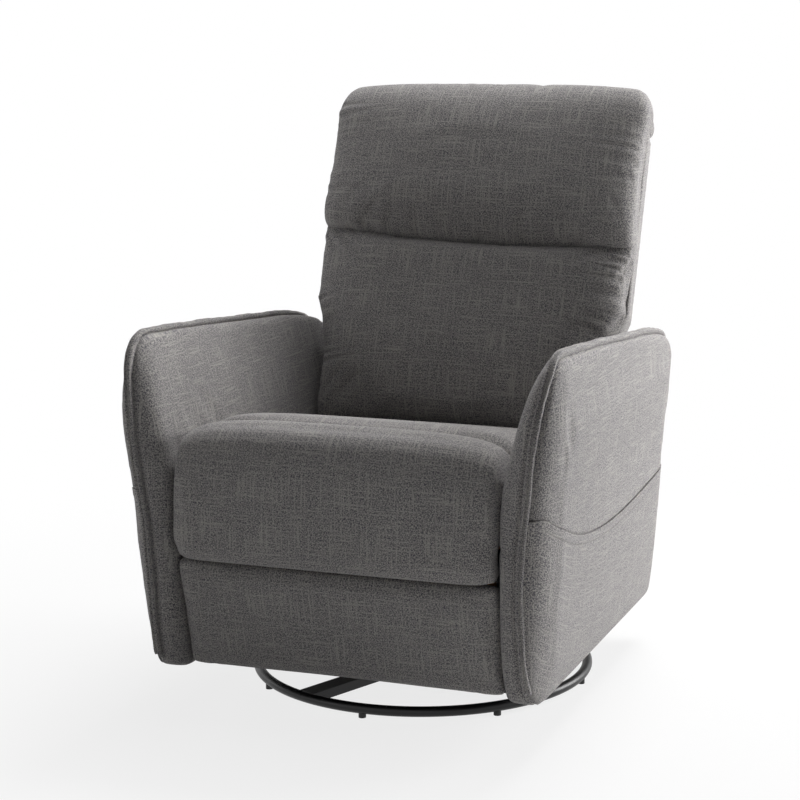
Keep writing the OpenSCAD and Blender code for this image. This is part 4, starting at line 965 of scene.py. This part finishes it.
panel_low, panel_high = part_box("arm_left_outer_panel")
arm_low = Vector([min(a, b) for a, b in zip(pad_low, panel_low)])
arm_high = Vector([max(a, b) for a, b in zip(pad_high, panel_high)])
arm_size = arm_high - arm_low
arm_size.y /= 1 - min(y for y, z in ARM_SIDE_SHARES)
arm_low.y = arm_high.y - arm_size.y
print("arm from", [round(v, 4) for v in arm_low], "size", [round(v, 4) for v in arm_size])


def at_share(x=0.0, y=0.0, z=0.0):
    """A place in the left arm, given as shares of its size."""
    return Vector((arm_low.x + x * arm_size.x, arm_low.y + y * arm_size.y, arm_low.z + z * arm_size.z))


def columns_of(shares):
    """The x, the y and the z of these places in the left arm."""
    return np.array([at_share(*place) for place in shares]).T


def drawn_out(name, outline, axis, low, high):
    """A solid with this outline, drawn out along one axis."""
    bm = bmesh.new()
    corners = []
    for place in outline:
        place = list(place)
        place.insert(axis, low)
        corners.append(bm.verts.new(place))
    drawn = bmesh.ops.extrude_face_region(bm, geom=[bm.faces.new(corners)])
    step = Vector((0, 0, 0))
    step[axis] = high - low
    moved = [part for part in drawn["geom"] if isinstance(part, bmesh.types.BMVert)]
    bmesh.ops.translate(bm, verts=moved, vec=step)
    bmesh.ops.recalc_face_normals(bm, faces=bm.faces)
    return mesh_object(name, bm)


# %% Arm cover
OVER = 0.02
front_form = [(at_share(x=x).x, at_share(z=z).z) for x, z in ARM_SECTION_SHARES]
side_form = [(at_share(y=y).y, at_share(z=z).z) for y, z in ARM_SIDE_SHARES]
arm_left = drawn_out("arm_left_cover", front_form, 1, arm_low.y - OVER, arm_low.y + arm_size.y + OVER)
side_solid = drawn_out("arm_side_form", side_form, 0, arm_low.x - OVER, arm_low.x + arm_size.x + OVER)
modify(arm_left, "BOOLEAN", operation="INTERSECT", solver="EXACT", object=side_solid)
bpy.data.objects.remove(side_solid)
remesh(arm_left, 0.0075)
relax(arm_left, 7)
welt_route = [at_share(*place) for place in WELT_FRONT_SHARES + WELT_TOP_SHARES + WELT_REAR_SHARES]
welt_x, welt_y, welt_z = columns_of(WELT_FRONT_SHARES)
outer_x, _, outer_z = columns_of([(x, 0, z) for x, z in ARM_SECTION_SHARES[3:16]])
inner_x, _, inner_z = columns_of([(x, 0, z) for x, z in ((0, 0.0),) + ARM_SECTION_SHARES[:17:-1]])


def welt_at(z):
    """How far out the welt runs at this height of the arm's front."""
    return np.interp(z, welt_z, welt_x)


# %% Rounded ends and the filling
# Both ends of the arm are rounded towards the welt, which runs along the nose
NOSE_OUT, NOSE_IN, NOSE_REAR, NOSE_LENGTH = 0.055, 0.036, 0.03, 0.12
HEM_DROP = 0.005
points = points_of(arm_left)
x, y, z = points.T
nose_x = welt_at(z)
towards_out = (x - nose_x) / (np.interp(z, outer_z, outer_x) - nose_x)
towards_in = (nose_x - x) / (nose_x - np.interp(z, inner_z, inner_x))
curve_out = 1 - np.sqrt(1 - np.clip(towards_out, 0, 1) ** 2)
curve_in = 1 - np.sqrt(1 - np.clip(towards_in, 0, 1) ** 2)
upper = 0.35 + 0.65 * ramp(z, at_share(z=0.45).z, at_share(z=0.75).z)
from_front = np.clip((y - np.interp(z, welt_z, welt_y)) / NOSE_LENGTH, 0, 1)
from_rear = np.clip((arm_high.y - y) / NOSE_LENGTH, 0, 1)
y += (NOSE_OUT * curve_out + NOSE_IN * upper * curve_in) * (1 - from_front) ** 2
y -= NOSE_REAR * (curve_out + curve_in) * (1 - from_rear) ** 2
move_points(arm_left, points)
relax(arm_left, 3)
points = points_of(arm_left)
from_seam, _ = near_path(points, welt_route)
held = np.maximum(fade(from_seam, 0.006, 0.016), fade(points[:, 2], arm_low.z + 0.008, arm_low.z + 0.03))
inflate(arm_left, held, pressure=5, cap=0.003, slack=-0.004)
relax(arm_left, 4)
subdivide(arm_left)
points = points_of(arm_left)
points[:, 2] -= HEM_DROP * fade(points[:, 2], arm_low.z, arm_low.z + 0.05)
move_points(arm_left, points)
print("arm cover", len(arm_left.data.polygons), "faces")

# %% [markdown]
# ## Welt
#
# The welt is a folded strip of the same cloth, sewn flat into the seam so that two soft ridges
# stand up with a row of stitches between them. Its section is swept along the seam, lying on the
# arm's skin, and the skin is drawn in along both of its sides.

# %% Tools: sweeping along the skin


def eased(route, step):
    """The route as a smooth curve, cut into even steps."""
    parts = 12
    curve = []
    for place in range(len(route) - 1):
        p0 = route[max(place - 1, 0)]
        p1, p2 = route[place], route[place + 1]
        p3 = route[min(place + 2, len(route) - 1)]
        for part in range(parts):
            t = part / parts
            curve.append(0.5 * ((2 * p1) + (p2 - p0) * t + (2 * p0 - 5 * p1 + 4 * p2 - p3) * t * t
                                + (3 * p1 - p0 - 3 * p2 + p3) * t ** 3))
    curve.append(route[-1])
    lengths = [0.0]
    for a, b in zip(curve[:-1], curve[1:]):
        lengths.append(lengths[-1] + (b - a).length)
    count = max(int(round(lengths[-1] / step)), 1)
    even, at = [], 0
    for number in range(count + 1):
        wanted = lengths[-1] * number / count
        while at < len(curve) - 2 and lengths[at + 1] < wanted:
            at += 1
        share = (wanted - lengths[at]) / max(lengths[at + 1] - lengths[at], 1e-9)
        even.append(curve[at].lerp(curve[at + 1], min(max(share, 0), 1)))
    return even


def on_skin(route, tree, rounds=6):
    """Places on the skin, with the way forward, the way out and the way across at each."""
    places, outs = [], []
    for place in route:
        hit, normal, _, _ = tree.find_nearest(place)
        places.append(hit)
        outs.append(normal)
    last = len(places) - 1
    for _ in range(rounds):
        outs = [(outs[max(i - 1, 0)] + outs[i] * 2 + outs[min(i + 1, last)]).normalized()
                for i in range(last + 1)]
        between = [(places[i - 1] + places[i] * 2 + places[i + 1]) / 4 for i in range(1, last)]
        places = [places[0]] + between + [places[-1]]
    frames = []
    for i, place in enumerate(places):
        ahead = (places[min(i + 1, last)] - places[max(i - 1, 0)]).normalized()
        across = outs[i].cross(ahead).normalized()
        frames.append((place, ahead, across.cross(ahead).normalized() * -1, across))
    return frames


def swept(name, frames, profile, change=None):
    """A strip with this section along the frames, and a weave map that follows it."""
    bm = bmesh.new()
    layer = bm.loops.layers.uv.new("weave")
    place, _, out, across = frames[0]
    ring = [bm.verts.new(place + across * a + out * b) for a, b in profile]
    edges = list(bm.faces.new(ring).edges)
    rings = [ring]
    for number, (place, _, out, across) in enumerate(frames[1:], 1):
        drawn = bmesh.ops.extrude_edge_only(bm, edges=edges)["geom"]
        fresh = [part for part in drawn if isinstance(part, bmesh.types.BMVert)]
        edges = [part for part in drawn if isinstance(part, bmesh.types.BMEdge)
                 and part.verts[0] in fresh and part.verts[1] in fresh]
        # Each new point goes with the point of the ring before that an edge joins it to
        drawn_from = {}
        for vert in fresh:
            for edge in vert.link_edges:
                other = edge.other_vert(vert)
                if other in rings[-1]:
                    drawn_from[other] = vert
        ring = [drawn_from[vert] for vert in rings[-1]]
        wide, tall = change(number) if change else (1.0, 1.0)
        for vert, (a, b) in zip(ring, profile):
            vert.co = place + across * a * wide + out * b * tall
        rings.append(ring)
    bm.faces.new(rings[-1])
    around = [0.0]
    for (a, b), (c, d) in zip(profile, profile[1:] + profile[:1]):
        around.append(around[-1] + math.hypot(c - a, d - b))
    along = 0.0
    where = {}
    for number, ring in enumerate(rings):
        if number:
            along += (frames[number][0] - frames[number - 1][0]).length
        for place, vert in enumerate(ring):
            where[vert] = (place, along)
    for face in bm.faces:
        numbers = [where[vert][0] for vert in face.verts]
        wraps = max(numbers) - min(numbers) > 1
        for loop in face.loops:
            place, run = where[loop.vert]
            turn = len(profile) if wraps and place == 0 else place
            loop[layer].uv = (run, around[turn])
    bmesh.ops.recalc_face_normals(bm, faces=bm.faces)
    return mesh_object(name, bm)


# %% Welt strips
# Both sections are in millimetres: across the seam, and out from the skin
WELT_PROFILE = [(a / 1000, b / 1000) for a, b in (
    (-6, -4), (-6.2, 1.6), (-5.5, 4.4), (-3.7, 5.9), (-2.0, 5.0), (-0.7, 3.0), (0.6, 3.0),
    (1.9, 4.9), (3.6, 5.8), (5.4, 4.3), (6.2, 1.6), (6, -4))]
SEAM_PROFILE = [(a / 1000, b / 1000) for a, b in (
    (-1.5, -1.5), (-1.5, 0.4), (-0.7, 1.1), (0.6, 1.0), (1.2, 0.3), (1.2, -1.5))]
skin = skin_of(arm_left)
welt_frames = on_skin(eased(welt_route, 0.006), skin)


def uneven(number):
    """How much wider and taller than its section the welt is at this step along it."""
    return (1 + 0.07 * math.sin(number * 0.37) + 0.04 * math.sin(number * 1.3),
            1 + 0.10 * math.sin(number * 0.23 + 1) + 0.05 * math.sin(number * 0.9))


welt_left = swept("arm_left_welt_strip", welt_frames, WELT_PROFILE, uneven)
welt_length = sum((b[0] - a[0]).length for a, b in zip(welt_frames[:-1], welt_frames[1:]))
print("welt", round(welt_length, 3), "m long")

# %% Stitches
STITCH_LONG, STITCH_THICK, STITCH_EVERY = 0.0032, 0.0007, 0.0046


def stitches(name, frames, lift):
    """A row of short threads lying on the cloth, with their middles this far out from it."""
    bm = bmesh.new()
    run, due = 0.0, STITCH_EVERY
    for (a, ahead, out, across), (b, _, _, _) in zip(frames[:-1], frames[1:]):
        stretch = (b - a).length
        while due < run + stretch:
            spot = a.lerp(b, (due - run) / stretch) + out * lift
            turn = Matrix((ahead, across, out)).transposed().to_4x4()
            made = bmesh.ops.create_cube(bm, size=1)["verts"]
            bmesh.ops.scale(bm, verts=made, vec=(STITCH_LONG, STITCH_THICK, STITCH_THICK))
            bmesh.ops.transform(bm, verts=made, matrix=Matrix.Translation(spot) @ turn)
            due += STITCH_EVERY
        run += stretch
    bmesh.ops.bevel(bm, geom=bm.edges[:], offset=STITCH_THICK * 0.3, segments=1, profile=0.5,
                    affect="EDGES", material=-1)
    return mesh_object(name, bm)


welt_thread = stitches("arm_left_welt_stitches", welt_frames, 0.0032)

# %% [markdown]
# ## Side pocket
#
# The lower outer panel is a second layer of cloth that is only sewn at the welt, the rear edge
# and the bottom, so its upper edge is the mouth of a pocket. It is a grid laid over the arm's
# skin below the mouth's curve. The arm behind it is set back a little, and the hem is doubled
# and has a row of stitches.

# %% The pocket's lines
# The cloth turns round each end of the arm about a line this far inside it
FAN = 0.045
# The cloth reaches down to this far above the arm's lowest place, where its last strip turns under
BOTTOM_EDGE, TURNED_UNDER, TURN_ANGLE = 0.02, 0.03, 1.3
_, mouth_y, mouth_z = columns_of([(0, y, z) for y, z in MOUTH_SHARES])
y_front = arm_low.y + FAN + 0.012
y_rear = arm_low.y + arm_size.y - FAN
straight = y_rear - y_front
round_length = FAN * 0.9
path_length = round_length * 2 + straight


def mouth_at(y):
    """Height of the pocket's mouth, an eased curve through the chosen places."""
    t = np.linspace(mouth_y[0], mouth_y[-1], 60)
    fine = np.interp(t, mouth_y, mouth_z)
    for _ in range(8):
        fine[1:-1] = (fine[:-2] + 2 * fine[1:-1] + fine[2:]) / 4
    return np.interp(y, t, fine)


def round_arm(run):
    """Where the way out starts, and the way out itself, this far along the pocket's cloth."""
    if run < round_length:
        turn = run / round_length * math.pi / 2
        return y_front, Vector((math.sin(turn), -math.cos(turn), 0))
    if run < round_length + straight:
        return y_front + run - round_length, Vector((1, 0, 0))
    turn = (run - round_length - straight) / round_length * math.pi / 2
    return y_rear, Vector((math.cos(turn), math.sin(turn), 0))


# %% Pocket panel
CLOTH = 0.0028
COLUMNS, MORE_ROWS = 150, 34
# How far below the mouth the first rows lie, with the row of stitches and the hem's lower edge
HEM_ROWS = (0, 0.0015, 0.006, 0.0125, 0.0145, 0.0155, 0.0165, 0.0185, 0.021)
STITCHED, HEM_END = HEM_ROWS[5], HEM_ROWS[6]
SKIN_GAP, HEM_EXTRA, STITCH_WIDTH = 0.0008, 0.0007, 0.0011
rows = len(HEM_ROWS) + MORE_ROWS
bm = bmesh.new()
bmesh.ops.create_grid(bm, x_segments=COLUMNS, y_segments=rows - 1, size=0.5)
layer = bm.loops.layers.uv.new("weave")
flat_at = {}
for vert in bm.verts:
    column = round((vert.co.x + 0.5) * COLUMNS)
    row = rows - 1 - round((vert.co.y + 0.5) * (rows - 1))
    run = path_length * column / COLUMNS
    centre_y, away = round_arm(run)
    top = float(mouth_at(centre_y + away.y * FAN))
    full = top - arm_low.z - BOTTOM_EDGE
    if row < len(HEM_ROWS):
        down = HEM_ROWS[row]
    else:
        below_hem = full + TURNED_UNDER - HEM_ROWS[-1]
        down = HEM_ROWS[-1] + below_hem * (row - len(HEM_ROWS) + 1) / MORE_ROWS
    height = top - min(down, full)
    bend = max(down - full, 0) / TURNED_UNDER * TURN_ANGLE
    away = (away * math.cos(bend) - Vector((0, 0, 1)) * math.sin(bend)).normalized()
    centre = Vector((float(welt_at(height)), centre_y, height))
    hit, normal, _, _ = skin.ray_cast(centre, away)
    if hit is None:
        hit, normal, _, _ = skin.find_nearest(centre + away * FAN)
    doubled = 1.0 if down < HEM_END else 0.0
    pulled = math.exp(-((down - STITCHED) / STITCH_WIDTH) ** 2)
    vert.co = hit + normal * (SKIN_GAP + HEM_EXTRA * doubled - HEM_EXTRA * pulled)
    flat_at[vert] = (run, -down)
for face in bm.faces:
    for loop in face.loops:
        loop[layer].uv = flat_at[loop.vert]
bmesh.ops.recalc_face_normals(bm, faces=bm.faces)
if sum(face.normal.x * face.calc_area() for face in bm.faces) < 0:
    bmesh.ops.reverse_faces(bm, faces=bm.faces)
bmesh.ops.smooth_vert(bm, verts=[vert for vert in bm.verts if not vert.is_boundary], factor=0.4,
                      use_axis_x=True, use_axis_y=True, use_axis_z=True)
pocket_left = mesh_object("arm_left_pocket_cloth", bm)
modify(pocket_left, "SOLIDIFY", thickness=CLOTH, offset=-1)
pocket_flat = (path_length, mouth_at(y_front) - arm_low.z - BOTTOM_EDGE)
print("pocket cloth", round(path_length, 3), "m along the arm")

# %% The hem's stitches
ROUTE_PLACES = 160
route = []
for number in range(ROUTE_PLACES):
    centre_y, away = round_arm(path_length * (0.02 + 0.96 * number / (ROUTE_PLACES - 1)))
    height = float(mouth_at(centre_y + away.y * FAN)) - STITCHED
    hit, normal, _, _ = skin.ray_cast(Vector((float(welt_at(height)), centre_y, height)), away)
    route.append(hit + normal * SKIN_GAP)
hem_frames = on_skin(route, skin_of(pocket_left), rounds=3)
hem_thread = stitches("arm_left_hem_stitches", hem_frames, 0.0003)

# %% The arm behind the pocket, and its seams
SET_BACK, MORE_BACK = 0.0045, 0.004
BESIDE_WELT = 0.0078
points = points_of(arm_left)
x, y, z = points.T
below = mouth_at(y) - z
outer = ramp(x - welt_at(z), 0.0, 0.006)
deeper = ramp(below, 0.0, 0.03) * ramp(z - arm_low.z, 0.03, 0.06)
back_by = ramp(below, -0.004, 0.004) * outer * (SET_BACK + MORE_BACK * deeper)
move_points(arm_left, points - normals_of(arm_left) * back_by[:, None])
for sign in (-1, 1):
    beside = [place + across * sign * BESIDE_WELT for place, _, _, across in welt_frames]
    groove(arm_left, beside, 0.0042, 0.005)
cross_z = at_share(z=0.457).z
seam = [Vector((at_share(x=0.42).x, arm_low.y, cross_z)), Vector((arm_low.x, arm_low.y, cross_z)),
        Vector((arm_low.x, arm_low.y + 0.12, cross_z))]
seam = [skin.find_nearest(place)[0] for place in eased(seam, 0.008)]
groove(arm_left, seam, 0.0026, 0.004)
seam_left = swept("arm_left_cross_seam", on_skin(seam, skin_of(arm_left), rounds=4), SEAM_PROFILE)
lay_weave(arm_left, "Y", (arm_low.x, 0, arm_low.z))

# %% Both arms


def mirrored(piece):
    """The same piece for the right side."""
    bm = bmesh.new()
    bm.from_mesh(piece.data)
    bmesh.ops.scale(bm, verts=bm.verts, vec=(-1, 1, 1))
    bmesh.ops.reverse_faces(bm, faces=bm.faces)
    return mesh_object(piece.name.replace("left", "right"), bm)


left_pieces = [arm_left, welt_left, pocket_left, welt_thread, hem_thread, seam_left]
right_pieces = [mirrored(piece) for piece in left_pieces]
for side, pieces in (("left", left_pieces), ("right", right_pieces)):
    cover, strip, pocket, thread_a, thread_b, cross_seam = pieces
    dress(cross_seam, "rocker", [])
    dress(cover, "rocker", [f"arm_{side}_pad", f"arm_{side}_outer_panel"])
    dress(strip, "rocker", [f"arm_{side}_welt"])
    dress(pocket, "rocker", [f"arm_{side}_pocket"])
    dress(thread_a, "rocker", [], material=thread)
    dress(thread_b, "rocker", [], material=thread)

# %% [markdown]
# ## Springs and release tab
#
# A spring is one wire wound round a line. A circle of the wire's size is carried round and up by
# the spin tool, which winds the whole spring at once. The four rocker springs stand between the
# turntable and the rocker. The two footrest springs hang between a post and a stud, with a hook at
# each end.

# %% Tools: wound wire
WIRE_SIDES = 8
EYE_STEPS = 16


def wound(bm, radius, wire, turns, height, steps=20, sides=WIRE_SIDES):
    """A spring standing on the origin along +Z, with closed ends."""
    ring = bmesh.ops.create_circle(bm, segments=sides, radius=wire)["verts"]
    bmesh.ops.rotate(bm, verts=ring, cent=(0, 0, 0), matrix=Matrix.Rotation(math.pi / 2, 3, "X"))
    bmesh.ops.translate(bm, verts=ring, vec=(radius, 0, wire))
    rise = (height - 2 * wire) / (turns * steps)
    loop = list({edge for vert in ring for edge in vert.link_edges})
    bmesh.ops.spin(bm, geom=ring + loop, cent=(0, 0, 0), axis=(0, 0, 1), dvec=(0, 0, rise),
                   angle=2 * math.pi * turns, steps=turns * steps, use_merge=False, use_duplicate=False)
    bmesh.ops.holes_fill(bm, edges=[edge for edge in bm.edges if edge.is_boundary], sides=0)


def rod(bm, wire, low, high):
    """A straight wire along +Z between two heights."""
    made = bmesh.ops.create_cone(bm, cap_ends=True, segments=WIRE_SIDES, radius1=wire, radius2=wire,
                                 depth=high - low)
    bmesh.ops.translate(bm, verts=made["verts"], vec=(0, 0, (low + high) / 2))


def eye(bm, radius, wire, height):
    """A closed ring of wire round the X axis, at this height."""
    ring = bmesh.ops.create_circle(bm, segments=WIRE_SIDES, radius=wire)["verts"]
    bmesh.ops.translate(bm, verts=ring, vec=(0, radius, height))
    loop = list({edge for vert in ring for edge in vert.link_edges})
    bmesh.ops.spin(bm, geom=ring + loop, cent=(0, 0, height), axis=(1, 0, 0), dvec=(0, 0, 0),
                   angle=2 * math.pi, steps=EYE_STEPS, use_merge=True, use_duplicate=False)


# %% Rocker springs
spring_low, spring_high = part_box("rocker_springs")
WIRE, SPRING_R = 0.002, 0.014
EDGE = SPRING_R + WIRE
bm = bmesh.new()
for x in (spring_low[0] + EDGE, spring_high[0] - EDGE):
    for y in (spring_low[1] + EDGE, spring_high[1] - EDGE):
        before = set(bm.verts)
        wound(bm, SPRING_R, WIRE, 4, spring_high[2] - spring_low[2])
        fresh = [vert for vert in bm.verts if vert not in before]
        bmesh.ops.translate(bm, verts=fresh, vec=(x, y, spring_low[2]))
bmesh.ops.recalc_face_normals(bm, faces=bm.faces)
springs = mesh_object("rocker_coils", bm)
dress(springs, None, ["rocker_springs"], material=zinc)
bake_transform(springs)

# %% Footrest springs
STUD, POST = Vector((0, -0.1738, 0.2536)), Vector((0, 0.060, 0.285))
PIN_R, THIN_WIRE, SLIM_R, COIL_LENGTH = 0.004, 0.0012, 0.0048, 0.110
# The rods reach this far into the coil, and the bend near the stud ends this far from it
ROD_OVERLAP, BEND_END = 0.002, 0.006
EYE_R = PIN_R + THIN_WIRE
low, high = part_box("drive_springs")
reach = (POST - STUD).length
start = (reach - COIL_LENGTH) / 2
tilt = Vector((0, 0, 1)).rotation_difference(POST - STUD).to_matrix()
bm = bmesh.new()
for x in (low[0] + SLIM_R + THIN_WIRE, high[0] - SLIM_R - THIN_WIRE):
    before = set(bm.verts)
    wound(bm, SLIM_R, THIN_WIRE, 34, COIL_LENGTH, steps=12, sides=6)
    bmesh.ops.translate(bm, verts=[vert for vert in bm.verts if vert not in before], vec=(0, 0, start))
    rod(bm, THIN_WIRE, EYE_R, start + ROD_OVERLAP)
    rod(bm, THIN_WIRE, start + COIL_LENGTH - ROD_OVERLAP, reach - EYE_R)
    eye(bm, EYE_R, THIN_WIRE, 0)
    eye(bm, EYE_R, THIN_WIRE, reach)
    fresh = [vert for vert in bm.verts if vert not in before]
    bmesh.ops.rotate(bm, verts=fresh, cent=(0, 0, 0), matrix=tilt)
    bmesh.ops.translate(bm, verts=fresh, vec=STUD + Vector((x, 0, 0)))
bmesh.ops.recalc_face_normals(bm, faces=bm.faces)
drive_coils = mesh_object("footrest_coils", bm)
dress(drive_coils, None, ["drive_springs"], material=zinc)
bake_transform(drive_coils)

# %% Release tab
tab = copy_of("strap_tab", "release_tab")
bm = bmesh.new()
bm.from_mesh(tab.data)
sharp = [edge for edge in bm.edges if edge.calc_face_angle(0) > 0.6]
bmesh.ops.bevel(bm, geom=sharp, offset=0.0007, segments=2, profile=0.5, affect="EDGES", material=-1)
bm.to_mesh(tab.data)
bm.free()
low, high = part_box("release_tab")
lay_weave(tab, "Y", (low[0], low[1], low[2]))
dress(tab, "tab", ["release_tab"])
